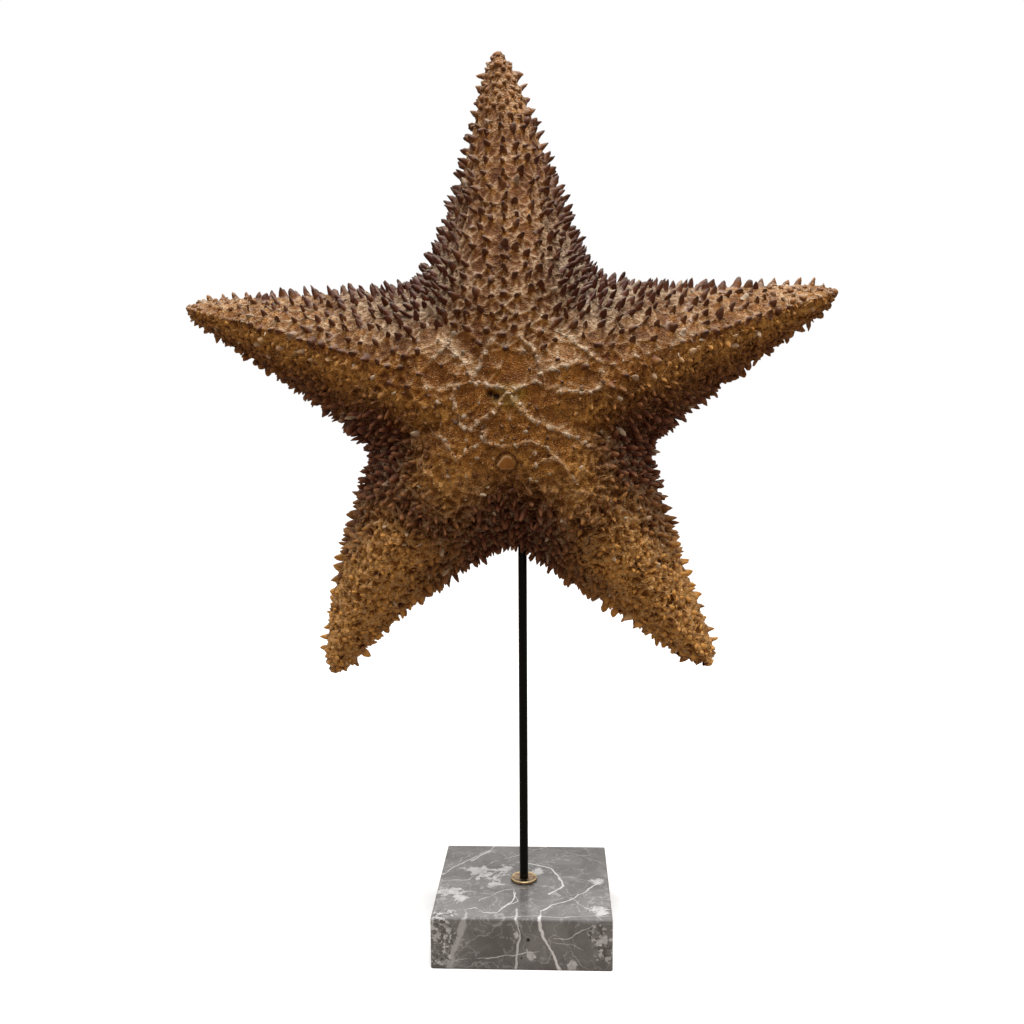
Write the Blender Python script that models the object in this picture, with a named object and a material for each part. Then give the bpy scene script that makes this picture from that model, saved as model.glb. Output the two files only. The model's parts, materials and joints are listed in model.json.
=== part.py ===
"""A dried cushion starfish on a display stand: a spiny star on a thin steel rod, which stands in a marble block.

Metres, +Z up. The origin is the centre of the block's underside. The star stands upright in the XZ plane, its domed
upper (aboral) side faces -Y and its flatter mouth (oral) side faces +Y.
"""

import math
from collections import namedtuple

import bmesh
import bpy
from mathutils import Vector

# The stand.
BASE_SIDE = 0.100
BASE_HEIGHT = 0.029
BASE_ARRIS = 0.0008
ROD_RADIUS = 0.0025
ROUND_SIDES = 24
ROD_BURIED = 0.030
SOCKET_DEPTH = 0.020
COLLAR_RADIUS = 0.0078
COLLAR_HEIGHT = 0.0021
COLLAR_LIP = 0.0006
CLEARANCE = 0.0003

# The star as a whole. An arm has the direction that it points in, its reach from the centre to the bare tip,
# how far its middle line bows sideways, and how far from the centre the pit after it lies, going round from
# +X towards +Z.
STAR_CENTRE = Vector((-0.0062, 0.0, 0.3112))
Arm = namedtuple("Arm", "angle reach bow pit")
ARMS = (
    Arm(math.radians(18.1), 0.1900, 0.0003, 0.0835),
    Arm(math.radians(91.8), 0.1906, -0.0020, 0.0835),
    Arm(math.radians(163.8), 0.1912, -0.0016, 0.0815),
    Arm(math.radians(236.0), 0.1876, -0.0072, 0.0785),
    Arm(math.radians(307.2), 0.1880, -0.0011, 0.0805),
)
ARM_OVER_ROD = 3
FULL_TURN = 2 * math.pi

# An arm in plan. Its half width shrinks evenly from the waist, and flares into the next arm at the pit.
WAIST_AT = 0.0635
WAIST_HALF = 0.0436
TAPER = 0.306
FLARE = 0.0025
FLARE_LENGTH = 0.003
TIP_ROUND = 0.008
BOW_CROWDING = 1.5
PIT_BLEND = 6

# An arm in section.
CROWN_HEIGHT = 0.062
TIP_HEIGHT = 0.0095
CROWN_FALL = 1.2
DISC_POWER = 2.1
ARM_POWER = 1.5
POWER_SETTLES = 0.4
ORAL_DEPTH = 0.0155
TIP_DEPTH = 0.006
ORAL_POWER = 3.2
GROOVE_HALF = 0.0048
GROOVE_DEPTH = 0.0062

# The faceted grid of each half arm: columns run from the ridge to the margin, rows run along the arm.
COLUMNS = 16
ABORAL_ROWS = 6
ORAL_ROWS = 3
COLUMN_CROWDING = 1.5
WELD = 0.00005

# Spines.
SPINE_RADIUS = 0.0021
ARM_SPINE = 0.0065
PIT_SPINE = 0.0095
DISC_SPINE = 0.0030
TIP_KNOB = 0.0016
ORAL_SPINE = 0.0040
ORAL_BARE = 0.75
BARE_CROWN = 0.016
DISC_REACH = 0.060
PIT_SPREAD = 0.030
LONG_SPINES_END = 0.50
KNOBS_BEGIN = 0.94
LEAN_TO_TIP = 0.22
SMALLEST_PLATE = 0.0030
WIDEST_TENT = 0.0089
ROD_KEEP_OUT = 0.0075


def smoothstep(low, high, value):
    share = min(1.0, max(0.0, (value - low) / (high - low)))
    return share * share * (3 - 2 * share)


def direction(angle):
    return Vector((math.cos(angle), 0, math.sin(angle)))


def tip_cap(along, reach):
    """1 along the arm, falling to 0 as a quarter round at the very tip."""
    into = max(0.0, along - (reach - TIP_ROUND)) / TIP_ROUND
    return math.sqrt(max(0.0, 1 - into * into))


def half_width(along, reach):
    """Half the width of the arm's body, this far out from the centre."""
    flare = FLARE * math.exp(-(along - WAIST_AT) / FLARE_LENGTH)
    return (WAIST_HALF - TAPER * (along - WAIST_AT) + flare) * tip_cap(along, reach)


def ridge_height(along, reach):
    """How far the ridge on the aboral side stands out from the margin's plane."""
    fall = math.cos(math.pi / 2 * min(1.0, along / reach)) ** CROWN_FALL
    return (TIP_HEIGHT + (CROWN_HEIGHT - TIP_HEIGHT) * fall) * tip_cap(along, reach)


def oral_depth(along, reach):
    """How far the mouth side stands out from the margin's plane."""
    share = 1 - along / reach
    return (TIP_DEPTH + (ORAL_DEPTH - TIP_DEPTH) * share) * tip_cap(along, reach)


def in_plan(arm, along, across):
    """The point of the star's plane that is this far along an arm and across it."""
    axis = direction(arm.angle)
    side = direction(arm.angle + math.pi / 2)
    bow = arm.bow * math.sin(math.pi * min(1.0, along / arm.reach) ** BOW_CROWDING)
    return axis * along + side * (across + bow)


def pit_after(number):
    """The point of the margin midway between this arm and the next."""
    arm, following = ARMS[number], ARMS[(number + 1) % len(ARMS)]
    gap = (following.angle - arm.angle) % FULL_TURN
    return direction(arm.angle + gap / 2) * arm.pit


def column_ends(arm, pit, side, share):
    """Where a column leaves the arm's ridge, where it meets the margin, and how far along the arm it starts."""
    along_ridge = arm.reach * (1 - (1 - share) ** COLUMN_CROWDING)
    along_margin = WAIST_AT + (arm.reach - WAIST_AT) * share
    ridge = in_plan(arm, along_ridge, 0)
    margin = in_plan(arm, along_margin, side * half_width(along_margin, arm.reach))
    first = in_plan(arm, WAIST_AT, side * half_width(WAIST_AT, arm.reach))
    margin += (pit - first) * (1 - share) ** PIT_BLEND
    return ridge, margin, along_ridge


def aboral_column(arm, ridge, margin, along, share):
    """Points of the domed side, from the ridge to the margin."""
    power = DISC_POWER + (ARM_POWER - DISC_POWER) * smoothstep(0, POWER_SETTLES, share)
    height = ridge_height(along, arm.reach)
    points = []
    for row in range(ABORAL_ROWS + 1):
        turn = math.pi / 2 * row / ABORAL_ROWS
        outward = math.sin(turn) ** (2 / power)
        up = max(0.0, math.cos(turn)) ** (2 / power) if row < ABORAL_ROWS else 0.0
        points.append(ridge.lerp(margin, outward) + Vector((0, -height * up, 0)))
    return points


def oral_column(arm, ridge, margin, along):
    """Points of the mouth side, from the groove's bottom to the margin."""
    depth = oral_depth(along, arm.reach)
    groove = min(0.45, GROOVE_HALF / max((margin - ridge).length, 1e-6))
    deep = GROOVE_DEPTH * min(1.0, depth / ORAL_DEPTH)
    points = [ridge + Vector((0, depth - deep, 0))]
    for row in range(ORAL_ROWS):
        outward = groove + (1 - groove) * math.sin(math.pi / 2 * row / (ORAL_ROWS - 1))
        up = max(0.0, 1 - outward**ORAL_POWER) ** (1 / ORAL_POWER)
        points.append(ridge.lerp(margin, outward) + Vector((0, depth * up, 0)))
    return points


def add_strip(mesh, columns):
    """Quads between neighbouring columns of points."""
    rows = [[mesh.verts.new(point) for point in column] for column in columns]
    for here, there in zip(rows, rows[1:]):
        for row in range(len(here) - 1):
            mesh.faces.new((here[row], here[row + 1], there[row + 1], there[row]))


def add_half_arm(mesh, arm, pit, side):
    """Both faces of the half of an arm that lies towards one pit."""
    aboral, oral = [], []
    for column in range(COLUMNS + 1):
        share = column / COLUMNS
        ridge, margin, along = column_ends(arm, pit, side, share)
        aboral.append(aboral_column(arm, ridge, margin, along, share))
        oral.append(oral_column(arm, ridge, margin, along))
    add_strip(mesh, aboral)
    add_strip(mesh, oral)


def star_body():
    """The star's smooth body, without its spines."""
    mesh = bmesh.new()
    for number, arm in enumerate(ARMS):
        add_half_arm(mesh, arm, pit_after(number), 1)
        add_half_arm(mesh, arm, pit_after(number - 1), -1)
    bmesh.ops.remove_doubles(mesh, verts=mesh.verts, dist=WELD)
    bmesh.ops.recalc_face_normals(mesh, faces=mesh.faces)
    return mesh


def nearest_arm(point):
    """The arm that a point belongs to, and how far along it and across it the point is."""
    angle = math.atan2(point.z, point.x)
    arm = max(ARMS, key=lambda each: math.cos(angle - each.angle))
    flat = Vector((point.x, 0, point.z))
    along = flat.dot(direction(arm.angle))
    across = flat.dot(direction(arm.angle + math.pi / 2))
    return arm, along, across


def near_pit(point):
    """1 at the pit between two arms, 0 well away from it."""
    flat = Vector((point.x, 0, point.z))
    nearest = min((flat - pit_after(number)).length for number in range(len(ARMS)))
    return 1 - smoothstep(0, PIT_SPREAD, nearest)


def aboral_spine(point, arm, along):
    """The length of a spine on the domed side."""
    from_centre = math.hypot(point.x, point.z)
    if from_centre < BARE_CROWN:
        return 0.0
    length = DISC_SPINE + (ARM_SPINE - DISC_SPINE) * smoothstep(BARE_CROWN, DISC_REACH, from_centre)
    length += (PIT_SPINE - ARM_SPINE) * near_pit(point)
    blunt = (along / arm.reach - LONG_SPINES_END) / (KNOBS_BEGIN - LONG_SPINES_END)
    return length + (TIP_KNOB - length) * min(1.0, max(0.0, blunt))


def oral_spine(point, arm, across):
    """The length of a spine on the mouth side, where only the margin carries them."""
    half = half_width(max(WAIST_AT, math.hypot(point.x, point.z)), arm.reach)
    return ORAL_SPINE if abs(across) > ORAL_BARE * half else 0.0


def meets_rod(point):
    """Whether a spine here would stand in the rod's way."""
    place = point + STAR_CENTRE
    return point.z < 0 and math.hypot(place.x, place.y) < ROD_KEEP_OUT


def grow_spines(mesh):
    """Draws a spine out of every plate of the body that carries one.

    A small plate rises to its spine's tip as a whole. A large one keeps a flat rim round a slimmer thorn.
    """
    plates = {}
    for face in mesh.faces:
        point = face.calc_center_median()
        size = math.sqrt(face.calc_area())
        if size < SMALLEST_PLATE or meets_rod(point):
            continue
        arm, along, across = nearest_arm(point)
        domed = point.y < 0
        length = aboral_spine(point, arm, along) if domed else oral_spine(point, arm, across)
        if length > 0:
            lean = direction(arm.angle) * (LEAN_TO_TIP if domed else 0.0)
            plates[face] = (length, size, (face.normal + lean).normalized())
    for face, (length, size, way) in plates.items():
        centre = face.calc_center_median()
        foot = face
        if size > WIDEST_TENT:
            foot = bmesh.ops.extrude_discrete_faces(mesh, faces=[face])["faces"][0]
            for corner in foot.verts:
                corner.co = centre + (corner.co - centre) * (2 * SPINE_RADIUS / size)
        crown = bmesh.ops.poke(mesh, faces=[foot])["verts"][0]
        crown.co = centre + way * length


def material(name, colour, roughness, metallic=0.0):
    made = bpy.data.materials.new(name)
    made.use_nodes = True
    shader = made.node_tree.nodes["Principled BSDF"]
    shader.inputs["Base Color"].default_value = (*colour, 1)
    shader.inputs["Roughness"].default_value = roughness
    shader.inputs["Metallic"].default_value = metallic
    return made


def piece(name, mesh, finish, location=(0, 0, 0)):
    """A named object made from a bmesh, which is used up."""
    data = bpy.data.meshes.new(name)
    mesh.to_mesh(data)
    mesh.free()
    data.materials.append(finish)
    made = bpy.data.objects.new(name, data)
    made.location = location
    bpy.context.scene.collection.objects.link(made)
    return made


def cylinder(radius, low, high):
    mesh = bmesh.new()
    bmesh.ops.create_cone(
        mesh, cap_ends=True, segments=ROUND_SIDES, radius1=radius, radius2=radius, depth=high - low
    )
    bmesh.ops.translate(mesh, verts=mesh.verts, vec=(0, 0, (high + low) / 2))
    return mesh


def drill(target, name, low, high):
    """Cuts the rod's hole, with its clearance, out of a piece."""
    cutter = piece(name, cylinder(ROD_RADIUS + CLEARANCE, low, high), target.active_material)
    cutter.hide_render = True
    cutter.display_type = "WIRE"
    cut = target.modifiers.new("rod_hole", "BOOLEAN")
    cut.operation = "DIFFERENCE"
    cut.solver = "EXACT"
    cut.object = cutter


def turned(profile):
    """A ring-shaped solid: a closed profile of (radius, height) points turned about Z."""
    mesh = bmesh.new()
    rings = []
    for step in range(ROUND_SIDES):
        angle = FULL_TURN * step / ROUND_SIDES
        rings.append([mesh.verts.new((r * math.cos(angle), r * math.sin(angle), z)) for r, z in profile])
    for here, there in zip(rings, rings[1:] + rings[:1]):
        for point in range(len(profile)):
            after = (point + 1) % len(profile)
            mesh.faces.new((here[point], there[point], there[after], here[after]))
    bmesh.ops.recalc_face_normals(mesh, faces=mesh.faces)
    return mesh


def rod_top():
    return STAR_CENTRE.z + pit_after(ARM_OVER_ROD).z + ROD_BURIED


def make_starfish():
    mesh = star_body()
    grow_spines(mesh)
    finish = material("starfish_skin", (0.27, 0.15, 0.065), 0.8)
    star = piece("starfish", mesh, finish, STAR_CENTRE)
    drill(star, "hole_in_star", BASE_HEIGHT, rod_top() + CLEARANCE)


def make_rod():
    low = BASE_HEIGHT - SOCKET_DEPTH + CLEARANCE
    finish = material("black_steel", (0.012, 0.011, 0.011), 0.35)
    rod = piece("rod", cylinder(ROD_RADIUS, low, rod_top()), finish)
    rod.data.shade_smooth()
    rod.data.set_sharp_from_angle(angle=math.radians(40))


def make_collar():
    low = BASE_HEIGHT + CLEARANCE
    high = low + COLLAR_HEIGHT
    bore = ROD_RADIUS + CLEARANCE
    dish = COLLAR_RADIUS - 3 * COLLAR_LIP
    profile = (
        (bore, low),
        (COLLAR_RADIUS - COLLAR_LIP, low),
        (COLLAR_RADIUS, low + COLLAR_LIP),
        (COLLAR_RADIUS, high - COLLAR_LIP),
        (COLLAR_RADIUS - COLLAR_LIP, high),
        (dish, high),
        (dish - COLLAR_LIP, high - COLLAR_LIP),
        (bore, high - COLLAR_LIP),
    )
    collar = piece("collar", turned(profile), material("brass", (0.36, 0.27, 0.13), 0.35, 1.0))
    collar.data.shade_smooth()
    collar.data.set_sharp_from_angle(angle=math.radians(30))


def make_base():
    mesh = bmesh.new()
    bmesh.ops.create_cube(mesh, size=1)
    bmesh.ops.scale(mesh, vec=(BASE_SIDE, BASE_SIDE, BASE_HEIGHT), verts=mesh.verts)
    bmesh.ops.translate(mesh, vec=(0, 0, BASE_HEIGHT / 2), verts=mesh.verts)
    base = piece("base", mesh, material("marble", (0.19, 0.185, 0.18), 0.22))
    arris = base.modifiers.new("arris", "BEVEL")
    arris.width = BASE_ARRIS
    arris.segments = 2
    drill(base, "socket_in_base", BASE_HEIGHT - SOCKET_DEPTH, BASE_HEIGHT + SOCKET_DEPTH)


def main():
    for old in list(bpy.data.objects):
        bpy.data.objects.remove(old)
    make_base()
    make_collar()
    make_rod()
    make_starfish()


main()
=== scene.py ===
# %% [markdown]
# # A dried cushion starfish on a display stand
#
# The object is a large, inflated sea star, dried hard and set upright on a thin black rod in a block of
# veined marble. The solid frame already holds its true sizes. This script gives it its looks: the knobbly
# skin, several thousand spines of different kinds, the marble, the brass collar, the light and the camera.
# A maker of such models would grow the spines on the skin in code, because no two are alike but all follow
# the same few rules.

import json
import math
from collections import namedtuple

import bmesh
import bpy
import numpy as np
from mathutils import Matrix, Vector
from mathutils import noise as turbulence
from mathutils.kdtree import KDTree

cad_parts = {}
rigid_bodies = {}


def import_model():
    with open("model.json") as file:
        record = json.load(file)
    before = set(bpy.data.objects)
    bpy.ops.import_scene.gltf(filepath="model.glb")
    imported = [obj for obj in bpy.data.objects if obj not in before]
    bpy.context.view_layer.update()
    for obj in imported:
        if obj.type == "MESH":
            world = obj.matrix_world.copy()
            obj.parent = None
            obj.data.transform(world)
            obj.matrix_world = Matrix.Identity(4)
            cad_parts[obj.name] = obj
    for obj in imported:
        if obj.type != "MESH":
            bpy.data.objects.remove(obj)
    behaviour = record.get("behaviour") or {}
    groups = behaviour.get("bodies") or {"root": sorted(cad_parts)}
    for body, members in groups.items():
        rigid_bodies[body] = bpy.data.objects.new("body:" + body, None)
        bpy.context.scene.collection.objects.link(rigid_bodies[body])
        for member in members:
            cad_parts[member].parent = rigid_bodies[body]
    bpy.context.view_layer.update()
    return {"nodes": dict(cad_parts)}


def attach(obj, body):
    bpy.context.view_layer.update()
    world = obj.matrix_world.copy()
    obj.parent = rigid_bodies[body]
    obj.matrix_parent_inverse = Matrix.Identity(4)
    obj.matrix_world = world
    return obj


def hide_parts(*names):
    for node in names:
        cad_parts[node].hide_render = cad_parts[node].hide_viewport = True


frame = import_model()
MM = 0.001
print("frame:", sorted(frame["nodes"]))

# %% [markdown]
# ## The star's form
#
# The starfish is a low dome whose five arms taper from a common disc. Each arm is measured from its middle
# line: how far it reaches, how wide and how high it is at each distance out, how it bows, and where the pit
# between it and the next arm lies. Formulas give the whole form, so that the skin, the spines and the
# colours can all ask where on the star a point is.

# %% The star's measures
STAR_CENTRE = Vector((-0.0062, 0.0, 0.3112))
Arm = namedtuple("Arm", "angle reach bow pit")
RIGHT, UPPER, LEFT, LOWER_LEFT, LOWER_RIGHT = range(5)
ARMS = (
    Arm(math.radians(18.1), 0.1900, 0.0003, 0.0835),
    Arm(math.radians(91.8), 0.1906, -0.0020, 0.0835),
    Arm(math.radians(163.8), 0.1912, -0.0016, 0.0815),
    Arm(math.radians(236.0), 0.1876, -0.0072, 0.0785),
    Arm(math.radians(307.2), 0.1880, -0.0011, 0.0805),
)
FULL_TURN = 2 * math.pi
WAIST_AT = 0.0635
WAIST_HALF = 0.0436
TAPER = 0.306
FLARE = 0.0025
FLARE_LENGTH = 0.003
TIP_ROUND = 0.008
BOW_CROWDING = 1.5
PIT_BLEND = 6
COLUMN_CROWDING = 1.5
CROWN_HEIGHT = 0.062
TIP_HEIGHT = 0.0095
CROWN_FALL = 1.2
DISC_POWER = 2.1
ARM_POWER = 1.5
POWER_SETTLES = 0.4
ORAL_DEPTH = 0.0155
TIP_DEPTH = 0.006
ORAL_POWER = 3.2
GROOVE_HALF = 0.0048
GROOVE_DEPTH = 0.0062


def smooth(low, high, value):
    """0 below low, 1 above high, and an even S between them."""
    share = np.clip((value - low) / (high - low), 0, 1)
    return share * share * (3 - 2 * share)


def mix(first, second, share):
    return first + (second - first) * share


def bell(value):
    """1 at 0, falling off to 0 on both sides."""
    return np.exp(-(value**2))


def direction(angle):
    return Vector((math.cos(angle), 0, math.sin(angle)))


def tip_cap(along, reach):
    """1 along the arm, falling to 0 as a quarter round at the very tip."""
    into = np.clip((along - (reach - TIP_ROUND)) / TIP_ROUND, 0, 1)
    return np.sqrt(1 - into * into)


def half_width(along, reach):
    flare = FLARE * np.exp(-(along - WAIST_AT) / FLARE_LENGTH)
    return (WAIST_HALF - TAPER * (along - WAIST_AT) + flare) * tip_cap(along, reach)


def ridge_height(along, reach):
    fall = np.cos(math.pi / 2 * np.clip(along / reach, 0, 1)) ** CROWN_FALL
    return (TIP_HEIGHT + (CROWN_HEIGHT - TIP_HEIGHT) * fall) * tip_cap(along, reach)


def oral_depth(along, reach):
    share = 1 - along / reach
    return (TIP_DEPTH + (ORAL_DEPTH - TIP_DEPTH) * share) * tip_cap(along, reach)


def in_plan(arm, along, across):
    """The point of the star's plane that is this far along an arm and across it."""
    axis = direction(arm.angle)
    side = direction(arm.angle + math.pi / 2)
    bow = arm.bow * math.sin(math.pi * min(1.0, along / arm.reach) ** BOW_CROWDING)
    return axis * along + side * (across + bow)


def pit_after(number):
    """The point of the margin midway between this arm and the next."""
    arm, following = ARMS[number], ARMS[(number + 1) % len(ARMS)]
    gap = (following.angle - arm.angle) % FULL_TURN
    return direction(arm.angle + gap / 2) * arm.pit


def pit_beside(number, side):
    return pit_after(number if side > 0 else number - 1)


def column_ends(arm, pit, side, share):
    """Where a column leaves the arm's ridge and meets the margin, and how far along the arm it starts."""
    along_ridge = arm.reach * (1 - (1 - share) ** COLUMN_CROWDING)
    along_margin = WAIST_AT + (arm.reach - WAIST_AT) * share
    ridge = in_plan(arm, along_ridge, 0)
    margin = in_plan(arm, along_margin, side * half_width(along_margin, arm.reach))
    first = in_plan(arm, WAIST_AT, side * half_width(WAIST_AT, arm.reach))
    margin += (pit - first) * (1 - share) ** PIT_BLEND
    return ridge, margin, along_ridge


def domed_point(arm, ridge, margin, along, share, turn):
    """A point of the domed side: turn goes from 0 on the ridge to a quarter turn on the margin."""
    power = mix(DISC_POWER, ARM_POWER, smooth(0, POWER_SETTLES, share))
    outward = math.sin(turn) ** (2 / power)
    up = max(0.0, math.cos(turn)) ** (2 / power)
    return ridge.lerp(margin, outward) + Vector((0, -ridge_height(along, arm.reach) * up, 0))


def oral_point(arm, ridge, margin, along, outward):
    """A point of the mouth side beside the groove, this share of the way out to the margin."""
    up = max(0.0, 1 - outward**ORAL_POWER) ** (1 / ORAL_POWER)
    return ridge.lerp(margin, outward) + Vector((0, oral_depth(along, arm.reach) * up, 0))


# %% [markdown]
# ## The skin
#
# The skin is one closed surface. It is laid out as fans of points over each half of each arm, drilled for
# the rod, and then meshed again in even squares of little over a millimetre, which is fine enough for every
# plate and web to be real shape. Only the grain inside the plates is left to the material.

# %% The skin's even mesh
SKIN_CELL = 0.00110
FAN_COLUMNS = 44
FAN_ROWS = 16
GROOVE_ROWS = 4
ORAL_ROWS = 10
LIP_MOST = 0.45
ROD_RADIUS = 0.0025
HOLE_RADIUS = 0.0029
HOLE_SIDES = 32
ROD_BURIED = 0.030


def oral_column(arm, ridge, margin, along):
    """Points of the mouth side, from the groove's bottom over its lip to the margin."""
    depth = oral_depth(along, arm.reach)
    lip = min(LIP_MOST, GROOVE_HALF / max((margin - ridge).length, 1e-6))
    deep = GROOVE_DEPTH * min(1.0, depth / ORAL_DEPTH)
    beside = oral_point(arm, ridge, margin, along, lip)
    points = []
    for row in range(GROOVE_ROWS):
        share = row / GROOVE_ROWS
        wall = (1 - math.cos(math.pi * share)) / 2
        points.append(ridge.lerp(beside, share))
        points[-1].y = mix(depth - deep, beside.y, wall)
    for row in range(ORAL_ROWS + 1):
        outward = lip + (1 - lip) * math.sin(math.pi / 2 * row / ORAL_ROWS)
        points.append(oral_point(arm, ridge, margin, along, outward))
    return points


def add_strip(mesh, columns):
    rows = [[mesh.verts.new(point) for point in column] for column in columns]
    for here, there in zip(rows, rows[1:]):
        for row in range(len(here) - 1):
            mesh.faces.new((here[row], here[row + 1], there[row + 1], there[row]))


def add_half_arm(mesh, number, side):
    arm = ARMS[number]
    domed, oral = [], []
    for column in range(FAN_COLUMNS + 1):
        share = column / FAN_COLUMNS
        ridge, margin, along = column_ends(arm, pit_beside(number, side), side, share)
        turns = [math.pi / 2 * row / FAN_ROWS for row in range(FAN_ROWS + 1)]
        domed.append([domed_point(arm, ridge, margin, along, share, turn) for turn in turns])
        oral.append(oral_column(arm, ridge, margin, along))
    add_strip(mesh, domed)
    add_strip(mesh, oral)


def linked(name, data):
    """A new object in the scene."""
    made = bpy.data.objects.new(name, data)
    bpy.context.scene.collection.objects.link(made)
    return made


def object_from(mesh, name):
    """An object in the scene made from a bmesh, which is used up."""
    data = bpy.data.meshes.new(name)
    mesh.to_mesh(data)
    mesh.free()
    return linked(name, data)


def applied(source, name):
    """A plain mesh of an object with its modifiers applied. The object is removed."""
    graph = bpy.context.evaluated_depsgraph_get()
    data = bpy.data.meshes.new_from_object(source.evaluated_get(graph))
    data.name = name
    bpy.data.objects.remove(source)
    return data


def skin_mesh():
    mesh = bmesh.new()
    for number in range(len(ARMS)):
        add_half_arm(mesh, number, 1)
        add_half_arm(mesh, number, -1)
    bmesh.ops.remove_doubles(mesh, verts=mesh.verts, dist=0.02 * MM)
    bmesh.ops.recalc_face_normals(mesh, faces=mesh.faces)
    bmesh.ops.translate(mesh, verts=mesh.verts, vec=STAR_CENTRE)
    skin = object_from(mesh, "skin_fan")
    drill = bmesh.new()
    top = STAR_CENTRE.z + pit_after(LOWER_LEFT).z + ROD_BURIED
    depth = 2.5 * ROD_BURIED
    bmesh.ops.create_cone(
        drill, cap_ends=True, segments=HOLE_SIDES, radius1=HOLE_RADIUS, radius2=HOLE_RADIUS, depth=depth
    )
    bmesh.ops.translate(drill, verts=drill.verts, vec=(0, 0, top - depth / 2))
    cutter = object_from(drill, "drill")
    hole = skin.modifiers.new("hole", "BOOLEAN")
    hole.object = cutter
    hole.solver = "EXACT"
    even = skin.modifiers.new("even", "REMESH")
    even.mode = "VOXEL"
    even.voxel_size = SKIN_CELL
    ease = skin.modifiers.new("ease", "SMOOTH")
    ease.factor = 0.5
    ease.iterations = 3
    data = applied(skin, "skin")
    bpy.data.objects.remove(cutter)
    return data


def vectors_of(layer, field):
    """One vector of every point of a mesh, as rows."""
    flat = np.empty(len(layer) * 3)
    layer.foreach_get(field, flat)
    return flat.reshape(-1, 3)


def normals(data):
    return vectors_of(data.vertex_normals, "vector")


skin_data = skin_mesh()
skin_points = vectors_of(skin_data.vertices, "co")
skin_normals = normals(skin_data)
print("skin:", len(skin_points), "points", len(skin_data.polygons), "faces")

# %% [markdown]
# ## Where a point is on the star
#
# Every rule below asks the same few things of a point: which arm it is on, how far along and across, how
# near a pit or a margin, whether it looks down, and whether it is on the domed side. The answers are worked
# out for all points at once.

# %% Places
Place = namedtuple("Place", "arm share side out pit under domed")
ARM_ANGLES = np.array([arm.angle for arm in ARMS])
ARM_REACHES = np.array([arm.reach for arm in ARMS])
ARM_BOWS = np.array([arm.bow for arm in ARMS])
PITS = np.array([(pit_after(number).x, pit_after(number).z) for number in range(len(ARMS))])
PIT_SPREAD = 0.043
PIT_WIDTHS = np.array((1, 1, 1, 1.2, 1))
PIT_CORE = 0.35
BAND_STRENGTH = 0.62
BAND_SIDES = (0.35, 0.75)
BAND_BEGINS = (0.25, 0.40)
BAND_ENDS = (0.50, 0.74)
LOOKS_DOWN = (-0.05, -0.32)
SADDLE_AT = 0.076
SADDLE_HALF = 0.013
SADDLE_STRENGTH = np.array((0, 0, 0, 0.80, 0.50))


def place_of(points, outward):
    """share: along the arm, 0 at the centre, 1 at the tip. side: 0 on the ridge, 1 on the margin.

    pit: how crowded and dark it is, in the pits, the bands beside them and the saddles of the lower arms.
    """
    domed = points[:, 1] < 0
    flat = points[:, (0, 2)] - (STAR_CENTRE.x, STAR_CENTRE.z)
    out = np.hypot(flat[:, 0], flat[:, 1])
    away = np.arctan2(flat[:, 1], flat[:, 0])[:, None] - ARM_ANGLES
    arm = np.cos(away).argmax(axis=1)
    turned = np.take_along_axis(away, arm[:, None], axis=1)[:, 0]
    along = out * np.cos(turned)
    share = along / ARM_REACHES[arm]
    across = out * np.sin(turned) - ARM_BOWS[arm] * np.sin(math.pi * np.clip(share, 0, 1) ** BOW_CROWDING)
    half = half_width(np.maximum(along, WAIST_AT), ARM_REACHES[arm])
    side = np.abs(across) / np.maximum(half, 0.002)
    nearest = np.min(np.linalg.norm(flat[:, None] - PITS, axis=2) / PIT_WIDTHS, axis=1)
    round_zone = 1 - smooth(PIT_CORE * PIT_SPREAD, PIT_SPREAD, nearest)
    band = BAND_STRENGTH * smooth(*BAND_SIDES, side) * (1 - smooth(*BAND_ENDS, share))
    band *= smooth(*BAND_BEGINS, share)
    saddle = SADDLE_STRENGTH[arm] * bell((out - SADDLE_AT) / SADDLE_HALF) * domed
    under = smooth(*LOOKS_DOWN, outward[:, 2])
    pit = np.maximum.reduce([round_zone, band, saddle])
    return Place(arm, share, side, out, pit, under, domed)


skin_place = place_of(skin_points, skin_normals)

# %% [markdown]
# ## The ridges of the disc
#
# The middle of the disc has its own landmarks: low ridges where the larger plates join, with a pale button
# at each joint. They are too irregular for a rule, so each is a short list of points, in millimetres from
# the middle.

# %% Ridges
RIDGES = (
    ((-42, 7), (-33, 5), (-26, 8), (-17, 10), (-7, 8), (2, 5)),
    ((2, 5), (11, 8), (16, 10), (21, 6), (28, 5), (36, 5), (45, 5), (51, 7)),
    ((-7, 32), (-11, 25), (-14, 17), (-17, 10)),
    ((-31, 28), (-22, 21), (-18, 14), (-17, 10)),
    ((6, 33), (14, 27), (18, 16), (21, 6)),
    ((18, 16), (26, 16), (33, 18), (39, 20)),
    ((2, 5), (6, -3), (10, -8), (17, -12), (26, -15), (36, -20), (43, -24)),
    ((2, 5), (-3, -1), (-6, -5), (-12, -10), (-19, -14)),
    ((-26, 8), (-27, 2), (-25, -9), (-23, -14), (-10, -16), (-12, -21)),
    ((-12, -21), (1, -23), (13, -21), (21, -24), (26, -29), (32, -37), (37, -44)),
    ((-35, -18), (-32, -21), (-28, -27), (-26, -31), (-22, -27), (-17, -24), (-12, -21)),
    ((13, -34), (21, -30), (26, -29)),
    ((-39, 20), (-31, 28), (-26, 36)),
    ((51, 7), (48, 20), (37, 28), (26, 36)),
)
RIDGE_HEIGHT = 1.25 * MM
RIDGE_HALF = 1.15 * MM
RIDGE_WANDER = 2.4
RIDGE_WANDER_SCALE = 110
JOINT_SPACING = 5.2
JOINT_SCATTER = 0.7


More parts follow.
